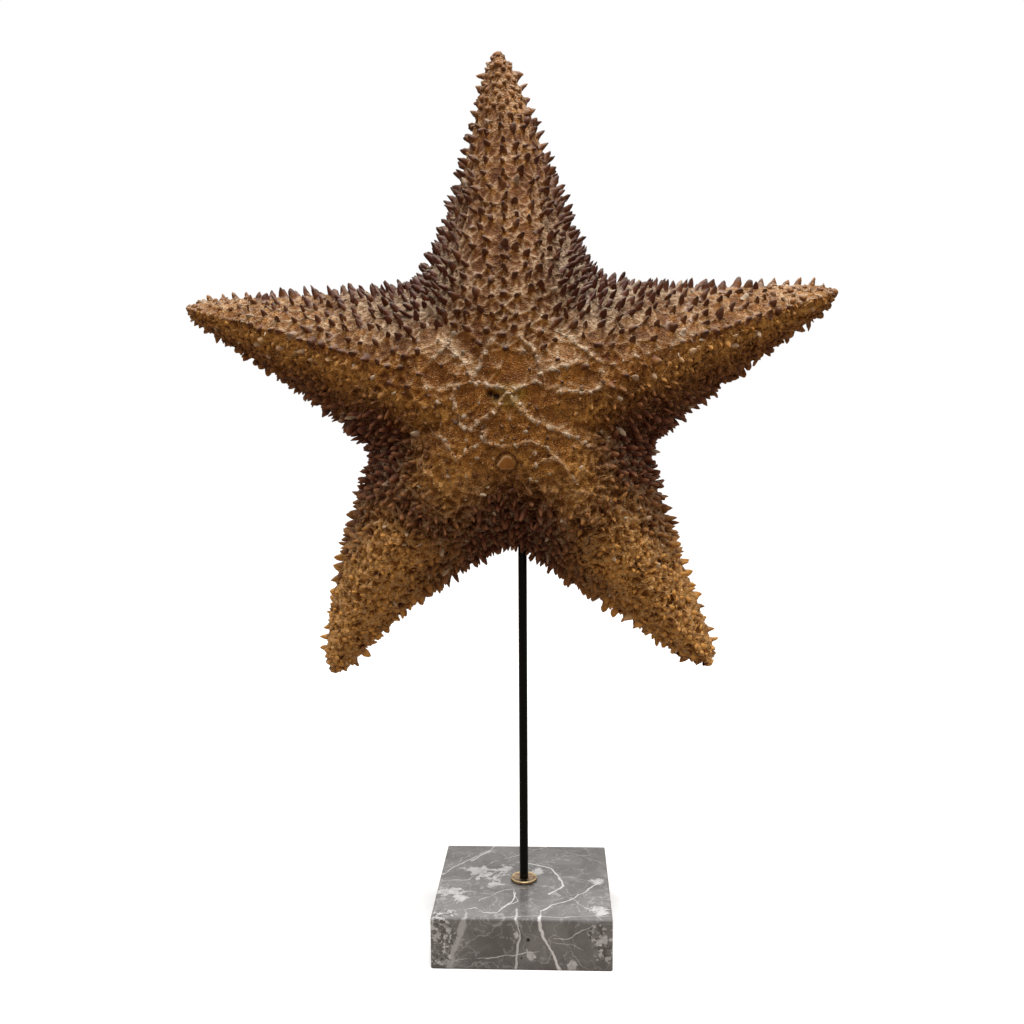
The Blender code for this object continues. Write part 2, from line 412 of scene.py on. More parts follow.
def noise_at(points, scale):
    """Smooth noise from -1 to 1 at each point."""
    return np.array([turbulence.noise(Vector(point) * scale) for point in points])


def evenly_along(points, spacing):
    """Points a fixed distance apart on a finely stepped curve."""
    steps = np.linalg.norm(np.diff(points, axis=0), axis=1)
    run = np.concatenate([[0], np.cumsum(steps)])
    stops = np.arange(spacing / 2, run[-1], spacing)
    return np.stack([np.interp(stops, run, points[:, axis]) for axis in range(3)], axis=1)


def ridge_rise(points):
    """How much each point belongs to a ridge of the disc, 0 to 1. Noise bends and breaks the ridges."""
    flat = (points[:, (0, 2)] - (STAR_CENTRE.x, STAR_CENTRE.z)) / MM
    flat[:, 0] += RIDGE_WANDER * noise_at(points, RIDGE_WANDER_SCALE)
    flat[:, 1] += RIDGE_WANDER * noise_at(points + 1, RIDGE_WANDER_SCALE)
    nearest = np.full(len(points), 1e3)
    for ridge in RIDGES:
        for start, end in zip(ridge, ridge[1:]):
            start, run = np.array(start), np.subtract(end, start)
            share = np.clip((flat - start) @ run / (run @ run), 0, 1)
            nearest = np.minimum(nearest, np.linalg.norm(flat - start - share[:, None] * run, axis=1))
    whole = smooth(-0.45, 0.15, noise_at(points, 1.8 * RIDGE_WANDER_SCALE))
    return bell(nearest * MM / RIDGE_HALF) * whole * (points[:, 1] < 0)


def ridge_joints():
    """Where the ridges' plates join, every few millimetres, as points in space in front of the disc."""
    joints = []
    for ridge in RIDGES:
        line = np.array([(x, 0, z) for x, z in ridge])
        joints.append(evenly_along(line, JOINT_SPACING))
    flat = np.concatenate(joints)
    scattered = flat + np.random.default_rng(5).normal(0, JOINT_SCATTER, flat.shape)
    return (scattered * (1, 0, 1) - (0, CROWN_HEIGHT / MM, 0)) * MM + np.array(STAR_CENTRE)


disc_ridge = ridge_rise(skin_points)
print("ridges:", len(RIDGES), "joints:", len(ridge_joints()))

# %% [markdown]
# ## Choosing where the plates are
#
# The skeleton is a net of small plates, and most plates carry a spine. They keep their distance from each
# other, closely in the pits and at the tips, widely on the disc. First come the joints of the ridges and
# the rows that a living star lays down in order, along each arm's crest and round its margin. The rest is
# filled in at random, and a place too near an earlier one is passed over.

# %% Kinds of growth
Growth = namedtuple("Growth", "spacing length radius blunt")
ARM_TEETH = Growth(6.7 * MM, 4.5 * MM, 2.10 * MM, 0.28)
UNDER_TEETH = Growth(4.3 * MM, 3.4 * MM, 1.60 * MM, 0.50)
LOW_ARM_TEETH = Growth(4.8 * MM, 2.6 * MM, 1.45 * MM, 0.50)
MARGIN_TEETH = Growth(7.0 * MM, 5.4 * MM, 2.45 * MM, 0.20)
DISC_BUTTONS = Growth(9.5 * MM, 1.7 * MM, 1.35 * MM, 0.85)
PIT_FINGERS = Growth(4.5 * MM, 6.2 * MM, 1.85 * MM, 0.58)
TIP_PEBBLES = Growth(4.4 * MM, 1.5 * MM, 1.90 * MM, 0.85)
ORAL_GRAINS = Growth(4.8 * MM, 2.2 * MM, 1.15 * MM, 0.80)
BARE_TO = np.array((0.054, 0.038, 0.054, 0.078, 0.074))
BARE_EDGE = 0.022


def bareness(place):
    """1 on the nearly bare disc, 0 where the arm's own spines stand, and 0 in the pits."""
    edge = BARE_TO[place.arm]
    return (1 - smooth(edge - BARE_EDGE, edge, place.out)) * (1 - place.pit)


def grown(place, field):
    """One measure of the growth at each place, blended from the kinds that meet there."""
    kind = {name: getattr(growth, field) for name, growth in KINDS.items()}
    value = mix(kind["arm"], kind["under"], place.under)
    value = np.where(place.arm >= LOWER_LEFT, kind["low_arm"], value)
    value = mix(value, kind["margin"], smooth(0.62, 0.88, place.side))
    value = mix(value, kind["disc"], bareness(place))
    value = mix(value, kind["pit"], place.pit)
    value = mix(value, kind["tip"], smooth(0.70, 0.90, place.share))
    oral = mix(kind["oral"], kind["margin"], smooth(0.84, 0.96, place.side))
    return np.where(place.domed, value, oral)


KINDS = {
    "arm": ARM_TEETH,
    "under": UNDER_TEETH,
    "low_arm": LOW_ARM_TEETH,
    "margin": MARGIN_TEETH,
    "disc": DISC_BUTTONS,
    "pit": PIT_FINGERS,
    "tip": TIP_PEBBLES,
    "oral": ORAL_GRAINS,
}

# %% Plates
CREST_SPACING = 6.8 * MM
MARGIN_TURN = math.radians(76)
ORAL_MARGIN = 0.965
ROD_KEEP_OUT = 5.0 * MM
CURVE_STEPS = 400
JOINT_CROWD = 0.3
ROW_CROWD = 0.85
JOINT_KEEP_OUT = 5.0 * MM
MADREPORITE_AT = (0.2 * MM, -32.1 * MM)
MADREPORITE_KEEP_OUT = 7.0 * MM


def ordered_rows():
    """The rows along the crests and the two round each margin, above and below."""
    rows = []
    for number, arm in enumerate(ARMS):
        stretch = np.linspace(BARE_TO[number], arm.reach, CURVE_STEPS)
        crest = [in_plan(arm, along, 0) - Vector((0, ridge_height(along, arm.reach), 0)) for along in stretch]
        rows.append(evenly_along(np.array(crest), CREST_SPACING))
        for side in (-1, 1):
            above, below = [], []
            for share in np.linspace(0, 1, CURVE_STEPS):
                ends = column_ends(arm, pit_beside(number, side), side, share)
                above.append(domed_point(arm, *ends, share, MARGIN_TURN))
                below.append(oral_point(arm, *ends, ORAL_MARGIN))
            rows.append(evenly_along(np.array(above), MARGIN_TEETH.spacing))
            rows.append(evenly_along(np.array(below), MARGIN_TEETH.spacing))
    return np.concatenate(rows) + np.array(STAR_CENTRE)


def tree_of(points):
    tree = KDTree(len(points))
    for index, point in enumerate(points):
        tree.insert(point, index)
    tree.balance()
    return tree


def front_points():
    """The domed skin's points pressed flat, to find the one in front of a place on the disc."""
    flat = skin_points.copy()
    flat[:, 1] = np.where(skin_place.domed, -CROWN_HEIGHT, 1.0)
    return flat


def from_place(place):
    """How far each of the skin's points is, in plan, from a place given by x and z from the centre."""
    flat = skin_points[:, (0, 2)] - (STAR_CENTRE.x, STAR_CENTRE.z) - np.array(place)
    return np.hypot(flat[:, 0], flat[:, 1])


def keep_out():
    """Points that carry nothing: round the rod and under the madreporite."""
    near_rod = np.hypot(skin_points[:, 0], skin_points[:, 1]) < ROD_KEEP_OUT
    near_plate = (from_place(MADREPORITE_AT) < MADREPORITE_KEEP_OUT) & skin_place.domed
    return (near_rod & (skin_points[:, 2] < STAR_CENTRE.z)) | near_plate


def take_round(space, taken, index, reach):
    """Marks the skin's points within reach of one as taken."""
    for _, other, _ in space.find_range(skin_points[index], reach):
        taken[other] = True


def choose_plates(rng):
    """Indices of the skin's points that carry a plate, joints of the ridges first."""
    space, front = tree_of(skin_points), tree_of(front_points())
    spacing = grown(skin_place, "spacing")
    taken = keep_out()
    joints = [front.find(point)[1] for point in ridge_joints()]
    rows = [space.find(point)[1] for point in ordered_rows()]
    anywhere = rng.permutation(len(skin_points))
    chosen = []
    for group, crowd in ((joints, JOINT_CROWD), (rows, ROW_CROWD), (anywhere, 1.0)):
        for index in group:
            if not taken[index]:
                chosen.append(index)
                take_round(space, taken, index, crowd * spacing[index])
        if group is joints:
            for index in joints:
                take_round(space, taken, index, JOINT_KEEP_OUT)
    return np.array(chosen), len(joints)


GRAIN_SPACING = 4.6 * MM
GRAIN_CLEAR = 1.9 * MM


def choose_grains(rng):
    """Indices of the skin's points that carry a loose grain: on the lower arms, undersides, pits and tips."""
    space = tree_of(skin_points)
    place = skin_place
    low_arm = (place.arm >= LOWER_LEFT) * smooth(0.045, 0.06, place.out)
    zone = np.maximum.reduce([place.under, 0.8 * place.pit, low_arm, 0.5 * (place.share > 0.8)])
    zone *= 1 - smooth(0.0, 0.25, skin_normals[:, 2])
    taken = keep_out() | (rng.random(len(skin_points)) > zone) | ~place.domed
    for index in plates:
        take_round(space, taken, index, GRAIN_CLEAR)
    chosen = []
    for index in rng.permutation(len(skin_points)):
        if not taken[index]:
            chosen.append(index)
            take_round(space, taken, index, GRAIN_SPACING)
    return np.array(chosen)


rng = np.random.default_rng(11)
plates, joint_count = choose_plates(rng)
grains = choose_grains(rng)
plate_place = Place(*(field[plates] for field in skin_place))
plate_points = skin_points[plates]
plate_normals = skin_normals[plates]
print("plates:", len(plates), "on the domed side:", int(plate_place.domed.sum()), "grains:", len(grains))

# %% [markdown]
# ## How each spine grows
#
# A spine's length, width and bluntness follow from where its plate is: long and crowded in the pits, stout
# teeth on the arms and margins, short teeth and curled flakes on the lower arms, pale buttons on the disc
# and pebbles at the tips. Each then departs from the rule a little, as living things do.

# %% Spine rules
LEAN_OUT = 0.20
PIT_LEAN = 0.55
WANDER = 0.17
CROWDED_WANDER = 0.17
LOW_ARM_WANDER = 0.26
GRAIN_WANDER = 0.45
MARGIN_FLATTEN = 0.75
LENGTH_SPREAD = (0.17, 0.55, 1.45)
RADIUS_SPREAD = (0.13, 0.70, 1.35)
BLUNT_SPREAD = 0.13
PALE_ANYWHERE = 0.02
PALE_BUTTONS = 0.50
PALE_BUTTONS_TO = 0.055
PALE_BELOW_CREST = 0.30
PALE_LOW_ARM = 0.04
PALE_GRAINS = 0.06
FLAKES_LOW_ARM = 0.75
FLAKES_UNDER = 0.60
FLAKES_LOWER_PIT = 0.45
GRAIN_LENGTH = 2.0 * MM
GRAIN_RADIUS = 1.05 * MM
BLUNT_EDGES = (0.30, 0.65)
FLAKE_STEP = 3
GRAIN_STEP = 4
Spines = namedtuple("Spines", "feet ways lengths radii step tone pale dusty upward place")


def unit(vectors):
    return vectors / np.maximum(np.linalg.norm(vectors, axis=1, keepdims=True), 1e-9)


def in_star_plane(angles):
    return np.stack([np.cos(angles), np.zeros(len(angles)), np.sin(angles)], axis=1)


def spine_ways(place, points, outward, rng):
    """Which way each spine points: out of the skin, leaning to the tip or out of the pit, a little off."""
    tip_ways = in_star_plane(ARM_ANGLES)[place.arm]
    flat = points - np.array(STAR_CENTRE)
    middle_ways = unit(flat * (1, 0, 1))
    lean = LEAN_OUT * smooth(0.2, 0.5, place.share)[:, None] * tip_ways
    lean += (PIT_LEAN * place.pit * place.domed)[:, None] * middle_ways
    wander = WANDER + CROWDED_WANDER * np.maximum(place.pit, place.under)
    wander += LOW_ARM_WANDER * (place.arm >= LOWER_LEFT) * place.domed * (1 - smooth(0.7, 0.9, place.side))
    in_plane = outward * (1, 1 - MARGIN_FLATTEN, 1)
    outward = mix(outward, unit(in_plane), smooth(0.78, 0.94, place.side)[:, None])
    return unit(outward + lean + wander[:, None] * rng.normal(0, 1, outward.shape))


def paleness(place, rng):
    """1 for the few bleached spines: the disc's buttons and some just under the side arms' crests."""
    chance = PALE_ANYWHERE + PALE_BUTTONS * bareness(place) * (place.out < PALE_BUTTONS_TO)
    below_crest = (place.side < 0.4) * place.under * (place.arm < LOWER_LEFT) * (place.share < 0.75)
    chance = np.maximum(chance, PALE_BELOW_CREST * below_crest)
    chance = np.maximum(chance, PALE_LOW_ARM * (place.arm >= LOWER_LEFT) * (1 - place.pit))
    return (rng.random(len(chance)) < chance * place.domed) * rng.uniform(0.3, 0.8, len(chance))


def flakiness(place):
    """How many of the spines at a place are curled flakes: most on the lower arms and the undersides."""
    open_skin = 1 - place.pit
    low_arm = FLAKES_LOW_ARM * (place.arm >= LOWER_LEFT) * (1 - smooth(0.75, 0.9, place.side))
    lower_pit = FLAKES_LOWER_PIT * place.pit * (place.arm >= LOWER_LEFT)
    share = np.maximum.reduce([low_arm * open_skin, FLAKES_UNDER * place.under * open_skin, lower_pit])
    return share * (1 - smooth(0.8, 0.9, place.share)) * (1 - bareness(place)) * place.domed


def varied(sizes, spread, rng):
    """Sizes times a random factor, given as its deviation, its least and its most."""
    deviation, least, most = spread
    return sizes * rng.normal(1.0, deviation, len(sizes)).clip(least, most)


def grow(place, points, outward, rng):
    count = len(points)
    lengths = varied(grown(place, "length"), LENGTH_SPREAD, rng)
    radii = varied(grown(place, "radius"), RADIUS_SPREAD, rng)
    step = np.searchsorted(BLUNT_EDGES, grown(place, "blunt") + rng.normal(0, BLUNT_SPREAD, count))
    step = np.where(rng.random(count) < flakiness(place), FLAKE_STEP, step)
    ways = spine_ways(place, points, outward, rng)
    tone, pale, dusty = rng.random(count), paleness(place, rng), np.zeros(count)
    return Spines(points, ways, lengths, radii, step, tone, pale, dusty, outward[:, 2], place)


def scatter(indices, rng):
    """Loose grains: small, low, and tilted every way."""
    place = Place(*(field[indices] for field in skin_place))
    outward = skin_normals[indices]
    count = len(indices)
    size = rng.uniform(0.6, 1.25, count)
    ways = unit(outward + rng.normal(0, GRAIN_WANDER, outward.shape))
    feet = raised[indices]
    step = np.full(count, GRAIN_STEP)
    tone, pale, dusty = rng.random(count), (rng.random(count) < PALE_GRAINS) * 0.8, skin_dust[indices]
    sizes = GRAIN_LENGTH * size, GRAIN_RADIUS * size
    return Spines(feet, ways, *sizes, step, tone, pale, dusty, outward[:, 2], place)


def tip_knobs():
    """For each arm, which plate is nearest its very tip, to be grown into a rounded knob."""
    tips = [STAR_CENTRE + in_plan(arm, arm.reach, 0) - Vector((0, 0.3 * TIP_HEIGHT, 0)) for arm in ARMS]
    tree = tree_of(plate_points)
    return [tree.find(tip)[1] for tip in tips]


JOINT_LENGTH = 1.9 * MM
JOINT_RADIUS = 1.4 * MM
KNOB_RADIUS = 3.1 * MM
KNOB_LENGTH = 2.6 * MM
spines = grow(plate_place, plate_points, plate_normals, rng)
for knob in tip_knobs():
    spines.radii[knob] = KNOB_RADIUS
    spines.lengths[knob] = KNOB_LENGTH
    spines.step[knob] = FLAKE_STEP - 1
joint_size = rng.uniform(0.5, 1.3, joint_count)
spines.lengths[:joint_count] = JOINT_LENGTH * joint_size
spines.radii[:joint_count] = JOINT_RADIUS * joint_size
spines.pale[:joint_count] = rng.uniform(0.1, 0.85, joint_count)
spines.step[:joint_count] = rng.integers(1, FLAKE_STEP, joint_count)

# %% [markdown]
# ## Raising the plates and webs
#
# The dried skin is stretched over the plates like a tent over its poles: it rises to the foot of each
# spine, runs as a thin web from one plate to the next, and sinks between them. Smaller lumps and wrinkles
# come on top, and they are strongest on the lower arms.

# %% Raised skin
MOUND_SHARE = 0.42
MOUND_MOST = 2.3 * MM
MOUND_REACH = 4.0 * MM
WEB_HEIGHT = 1.35 * MM
WEB_HALF = 0.85 * MM
WEB_LONGEST = 12.0 * MM
SINK = 0.5 * MM
NEIGHBOURS = 4
LUMP_SCALE = 260
LUMP_HEIGHT = 0.6 * MM
WRINKLE_SCALE = 420
WRINKLE_HEIGHT = 0.85 * MM
CRINKLE_SCALE = 200
CRINKLE_HEIGHT = 2.0 * MM
WARP_SCALE = 210
WARP = 1.6 * MM
UPPER_BASE_TURN = 0.12
WEB_DUST = 0.75
STREAK_CLEAN = 0.75
SHELTER = 0.90
OPENINGS = ((-7.6 * MM, 3.9 * MM), (-4.8 * MM, 2.4 * MM))
OPENING_RADIUS = 1.6 * MM
OPENING_DEPTH = 3.2 * MM


def nearest_plates(points):
    """For each point, its nearest plates and how far they are, nearest first."""
    tree = tree_of(plate_points)
    found = [tree.find_n(point, NEIGHBOURS) for point in points]
    index = np.array([[hit[1] for hit in hits] for hits in found])
    distance = np.array([[hit[2] for hit in hits] for hits in found])
    return index, distance


def web_rise(points, index):
    """How far webs between neighbouring plates lift each point, from 0 to 1."""
    rise = np.zeros(len(points))
    for first in range(NEIGHBOURS - 1):
        for second in range(first + 1, NEIGHBOURS):
            start = plate_points[index[:, first]]
            run = plate_points[index[:, second]] - start
            length = np.linalg.norm(run, axis=1)
            share = np.einsum("ij,ij->i", points - start, run) / np.maximum(length, 1e-9) ** 2
            share = np.clip(share, 0, 1)
            beside = np.linalg.norm(points - start - run * share[:, None], axis=1)
            sag = 1 - 2.0 * share * (1 - share)
            line = bell(beside / WEB_HALF) * sag * (length < WEB_LONGEST)
            rise = np.maximum(rise, line)
    return rise


def opening_depth():
    """How deep the skin sinks in the two small dark openings side by side just left of the middle."""
    depth = np.zeros(len(skin_points))
    for opening in OPENINGS:
        wall = smooth(1.3 * OPENING_RADIUS, 0.4 * OPENING_RADIUS, from_place(opening))
        depth = np.maximum(depth, OPENING_DEPTH * wall)
    return depth * skin_place.domed


def sheltered_share(place):
    """1 where the side arms keep the dust off the lower ones."""
    return (place.arm >= LOWER_LEFT) * smooth(0.025, 0.045, place.out)


nearby, gaps = nearest_plates(skin_points)
mound_height = np.minimum(MOUND_MOST, MOUND_SHARE * spines.lengths)[nearby[:, 0]]
mound = np.clip(1 - gaps[:, 0] / MOUND_REACH, 0, 1) ** 2
web = web_rise(skin_points, nearby)
# The relief fades towards the tips, and the mouth side is flatter than the domed side.
calm = 1 - 0.75 * smooth(0.82, 1.0, skin_place.share)
web_share = np.where(skin_place.domed, 1.0, 0.35) * calm
lump = noise_at(skin_points, LUMP_SCALE)
wrinkle = 1 - 2 * np.abs(noise_at(skin_points, WRINKLE_SCALE))
low_half = skin_place.arm >= LOWER_LEFT
rough = np.where(low_half, 1.1, 0.25 + 0.6 * skin_place.under)
rough *= 1 - np.where(low_half, 0.6 * smooth(0.05, 0.03, skin_place.out), 0.6) * bareness(skin_place)
rough = np.where(skin_place.domed, rough, 0.3) * calm
# The highest of mound, web and ridge lifts a point, and what is none of them sinks.
rise = np.maximum(mound_height * mound, WEB_HEIGHT * web * web_share)
rise = np.maximum(rise, RIDGE_HEIGHT * disc_ridge * (1 + 0.5 * lump))
low = 1 - np.maximum.reduce([mound, web, disc_ridge])
rise -= SINK * low * web_share
rise += LUMP_HEIGHT * lump * calm + WRINKLE_HEIGHT * (wrinkle - 0.5) * rough
# The lower arms and the side arms' undersides are crumpled into sharp crests.
crumpled = np.where(low_half, smooth(0.035, 0.06, skin_place.out), 0.55 * skin_place.under)
crumpled = crumpled * skin_place.domed * calm
push = np.stack([noise_at(skin_points + shift, WARP_SCALE) for shift in (2, 4, 6)], axis=1)
crinkle = 1 - 2.2 * np.abs(noise_at(skin_points + WARP * push, CRINKLE_SCALE))
rise += CRINKLE_HEIGHT * (crinkle - 0.45) * crumpled
rise -= opening_depth()
raised = skin_points + skin_normals * rise[:, None]
skin_data.vertices.foreach_set("co", raised.ravel())
skin_data.update()
print("raised by up to", round(rise.max() / MM, 2), "mm, sunk by up to", round(-rise.min() / MM, 2), "mm")

# %% [markdown]
# ### Where dust lies
#
# Dust settles on what faces up, less in the hollows, and clings to the webs of the upper arms. It leaves a
# clean streak below each tooth, and hardly any reaches the lower arms, which stand under the side ones.

# %% Settled dust
def streaks_below_teeth():
    """1 on the clean streak just below each tooth of the upper three arms."""
    x, _, z = ((skin_points - plate_points[nearby[:, 0]]) / MM).T
    below = smooth(0.4, 1.4, -z) * smooth(2.8, 1.0, np.abs(x)) * skin_place.domed
    return below * high_arms * toothed * (1 - skin_place.pit)


def settled_dust():
    """How much dust lies on each point of the skin, from 0 to 1."""
    on_upper, share = skin_place.arm == UPPER, skin_place.share
    slope = skin_normals[:, 2]
    facing_up = 0.35 * slope + 0.65 * normals(skin_data)[:, 2]
    upper_base = on_upper * (1 - smooth(0.25, 0.4, share)) * (1 - skin_place.pit)
    facing_up += UPPER_BASE_TURN * upper_base * smooth(0.12, 0.2, share)
    in_hollow = mix(0.45, 0.75, np.maximum(on_upper, smooth(0.4, 0.7, share)))
    dust = smooth(0.04, 0.32, facing_up) * (1 - in_hollow * smooth(0.5, -0.6, rise / MM))
    dust *= smooth(-0.35, 0.10, slope)
    dust *= 1 - 0.20 * on_upper * smooth(0.35, 0.6, share)
    on_web = smooth(0.5, 1.0, np.maximum(web, mound)) * smooth(-0.2, 0.1, slope) * skin_place.domed
    dust = np.maximum(dust, WEB_DUST * on_web * high_arms * toothed)
    dust *= 1 - STREAK_CLEAN * below_tooth
    return dust * (1 - SHELTER * sheltered_share(skin_place))


high_arms = skin_place.arm < LOWER_LEFT
toothed = 1 - bareness(skin_place)
below_tooth = streaks_below_teeth()
skin_dust = settled_dust()
spines.dusty[:] = skin_dust[plates]
print("dust on average:", round(float(skin_dust.mean()), 3))

# %% [markdown]
# ## The spines' shapes
#
# A few spines are shaped by given profiles: teeth, fingers, round pebbles, curled flakes and grains,
# each a little bent and uneven. They are one unit wide and long, and Geometry Nodes set thousands of scaled
# and turned copies on the skin. Each shape has only a few dozen faces, because it is repeated so often.

# %% Spine shapes
Mould = namedtuple("Mould", "sides heights blunt bend squash curl")
SPINE_RINGS = (0.0, 0.13, 0.33, 0.57, 0.79, 0.93)
GRAIN_RINGS = (0.0, 0.35, 0.75)
MOULDS = (
    Mould(8, SPINE_RINGS, 0.15, 0.20, 0.35, 0.0),
    Mould(8, SPINE_RINGS, 0.50, 0.20, 0.40, 0.0),
    Mould(8, SPINE_RINGS, 1.00, 0.16, 0.30, 0.0),
    Mould(8, SPINE_RINGS, 0.80, 0.45, 0.62, 0.55),
    Mould(6, GRAIN_RINGS, 0.70, 0.45, 0.55, 0.3),
)
SHAPE_SUNK = 0.14
BLUNT_SUNK = 0.40
FOOT_FLARE = 0.60
FOOT_SPREAD = 0.11
SIDE_POWERS = (1.65, 3.2)
ROUND_OFFS = (0.85, 0.5)
UNEVEN_SIDES = 0.09
VARIANTS = 6


def profile(height, blunt):
    """How wide a spine is at a share of its height. A sharp one ends in a point, a blunt one in a dome."""
    side = (1 - height ** mix(*SIDE_POWERS, blunt)) ** mix(*ROUND_OFFS, blunt)
    return side + FOOT_FLARE * (1 - 0.8 * blunt) * math.exp(-height / FOOT_SPREAD)


def join_rings(mesh, rings):
    """Faces between each ring of points and the next, which has as many."""
    for low_ring, high_ring in zip(rings, rings[1:]):
        for side in range(len(low_ring)):
            after = (side + 1) % len(low_ring)
            mesh.faces.new((low_ring[side], low_ring[after], high_ring[after], high_ring[side]))


def close_ring(mesh, ring, tip):
    """A fan of faces from a ring of points to one point."""
    for side, point in enumerate(ring):
        mesh.faces.new((point, ring[(side + 1) % len(ring)], tip))


def spine_shape(name, mould, rng):
    """One spine, standing on the origin along Z, with its height kept on the mesh as a number."""
    mesh = bmesh.new()
    kept = mesh.verts.layers.float.new("rise")
    bend = rng.normal(0, mould.bend, 2)
    oval = 1 - mould.squash * rng.uniform(0.4, 1.0)
    sunk = SHAPE_SUNK + BLUNT_SUNK * mould.blunt**2
    rings = []
    for height in mould.heights:
        ring = []
        for side in range(mould.sides):
            angle = side * FULL_TURN / mould.sides
            radius = profile(height, mould.blunt) * rng.normal(1.0, UNEVEN_SIDES)
            x = radius * math.cos(angle) + bend[0] * height**2
            y = radius * oval * math.sin(angle) + bend[1] * height**2
            y += mould.curl * (math.cos(angle) ** 2 - 0.5) * radius * min(1.0, 2 * height)
            ring.append(mesh.verts.new((x, y, height * (1 + sunk) - sunk)))
            ring[-1][kept] = height
        rings.append(ring)
    tip = mesh.verts.new((bend[0], bend[1], 1.0))
    tip[kept] = 1.0
    join_rings(mesh, rings)
    close_ring(mesh, rings[-1], tip)
    shape = object_from(mesh, name)
    bpy.context.scene.collection.objects.unlink(shape)
    return shape


def spine_shapes(rng):
    """All the shapes in a collection of their own, sharpest first. Their names give their order."""
    shapes = bpy.data.collections.new("spine_shapes")
    for step, mould in enumerate(MOULDS):
        for variant in range(VARIANTS):
            shapes.objects.link(spine_shape(f"shape_{step}{variant}", mould, rng))
    return shapes


shapes = spine_shapes(rng)

# %% [markdown]
# ## Setting the spines with Geometry Nodes
#
# The tree takes a cloud of points that know their direction, size, turn and kind. It picks a shape for
# each, points it the right way, makes all the copies real, and then nudges the surface by noise so that no
# two spines are alike.

# %% Node helpers
COLOUR, VALUE, VECTOR = "NodeSocketColor", "NodeSocketFloat", "NodeSocketVector"
GEOMETRY = ("Geometry", "NodeSocketGeometry")


def new_group(name, inputs, outputs, kind="ShaderNodeTree"):
    """An empty node group with these sockets, and its input and output nodes."""
    tree = bpy.data.node_groups.new(name, kind)
    for way, sockets in (("INPUT", inputs), ("OUTPUT", outputs)):
        for label, socket in sockets:
            tree.interface.new_socket(label, in_out=way, socket_type=socket)
    return tree, tree.nodes.new("NodeGroupInput"), tree.nodes.new("NodeGroupOutput")


def feed(tree, socket, value):
    """Sets a socket to a constant, or links another node's output to it."""
    if isinstance(value, bpy.types.NodeSocket):
        tree.links.new(value, socket)
    else:
        socket.default_value = value


def add_node(tree, kind, inputs=(), **settings):
    made = tree.nodes.new(kind)
    for name, value in settings.items():
        setattr(made, name, value)
    for key, value in dict(inputs).items():
        feed(tree, made.inputs[key], value)
    return made


def vector_math(tree, operation, first, second):
    made = add_node(tree, "ShaderNodeVectorMath", {0: first, 1: second}, operation=operation)
    return made.outputs["Value" if operation in ("DOT_PRODUCT", "DISTANCE") else "Vector"]


def scaled(tree, vector, factor):
    made = add_node(tree, "ShaderNodeVectorMath", {0: vector}, operation="SCALE")
    feed(tree, made.inputs["Scale"], factor)
    return made.outputs[0]


def centred_noise(tree, texture):
    """The colour of a noise texture as a vector about zero."""
    return vector_math(tree, "SUBTRACT", texture.outputs[1], (0.5, 0.5, 0.5))


def kept_number(tree, name, kind="FLOAT"):
    """A number that each point carries."""
    made = add_node(tree, "GeometryNodeInputNamedAttribute", {"Name": name}, data_type=kind)
    return next(socket for socket in made.outputs if socket.enabled)


def geometry_tree(name, own_input):
    """An empty geometry tree with the inputs that both trees have, and one of its own."""
    inputs = [
        GEOMETRY,
        own_input,
        ("Material", "NodeSocketMaterial"),
        ("Unevenness", VALUE),
        ("Patches per metre", VALUE),
    ]
    return new_group(name, inputs, [GEOMETRY], "GeometryNodeTree")


def end_tree(tree, into, out, geometry):
    """Makes the copies real, nudges their surface by noise, and sets the material."""
    real = add_node(tree, "GeometryNodeRealizeInstances", {"Geometry": geometry})
    patches = add_node(tree, "ShaderNodeTexNoise", {"Scale": into.outputs["Patches per metre"]})
    nudge = scaled(tree, centred_noise(tree, patches), into.outputs["Unevenness"])
    moved = add_node(tree, "GeometryNodeSetPosition", {"Geometry": real.outputs[0], "Offset": nudge})
    inputs = {"Geometry": moved.outputs[0], "Material": into.outputs["Material"]}
    feed(tree, out.inputs[0], add_node(tree, "GeometryNodeSetMaterial", inputs).outputs[0])
    return tree


# %% The spine tree
def spine_tree():
    tree, into, out = geometry_tree("set_spines", ("Shapes", "NodeSocketCollection"))
    inputs = {"Collection": into.outputs["Shapes"], "Separate Children": True, "Reset Children": True}
    picked = add_node(tree, "GeometryNodeCollectionInfo", inputs)
    inputs = {"Vector": kept_number(tree, "way", "FLOAT_VECTOR")}
    aim = add_node(tree, "FunctionNodeAlignRotationToVector", inputs, axis="Z")
    spin = add_node(tree, "FunctionNodeAxisAngleToRotation", {"Angle": kept_number(tree, "turn")})
    inputs = {"Rotation": aim.outputs[0], "Rotate By": spin.outputs[0]}
    turned = add_node(tree, "FunctionNodeRotateRotation", inputs, rotation_space="LOCAL")
    inputs = {
        "Points": into.outputs["Geometry"],
        "Instance": picked.outputs[0],
        "Pick Instance": True,
        "Instance Index": kept_number(tree, "kind", "INT"),
        "Rotation": turned.outputs[0],
        "Scale": kept_number(tree, "size", "FLOAT_VECTOR"),
    }
    placed = add_node(tree, "GeometryNodeInstanceOnPoints", inputs)
    return end_tree(tree, into, out, placed.outputs[0])


def set_input(modifier, name, value):
    """Sets one of a tree's named inputs through its socket's identifier."""
    for item in modifier.node_group.interface.items_tree:
        if item.in_out == "INPUT" and item.name == name:
            modifier[item.identifier] = value


SPINE_TREE = spine_tree()

# %% Growing spines
UNEVENNESS = 1.3 * MM
PATCHES_PER_METRE = 420.0


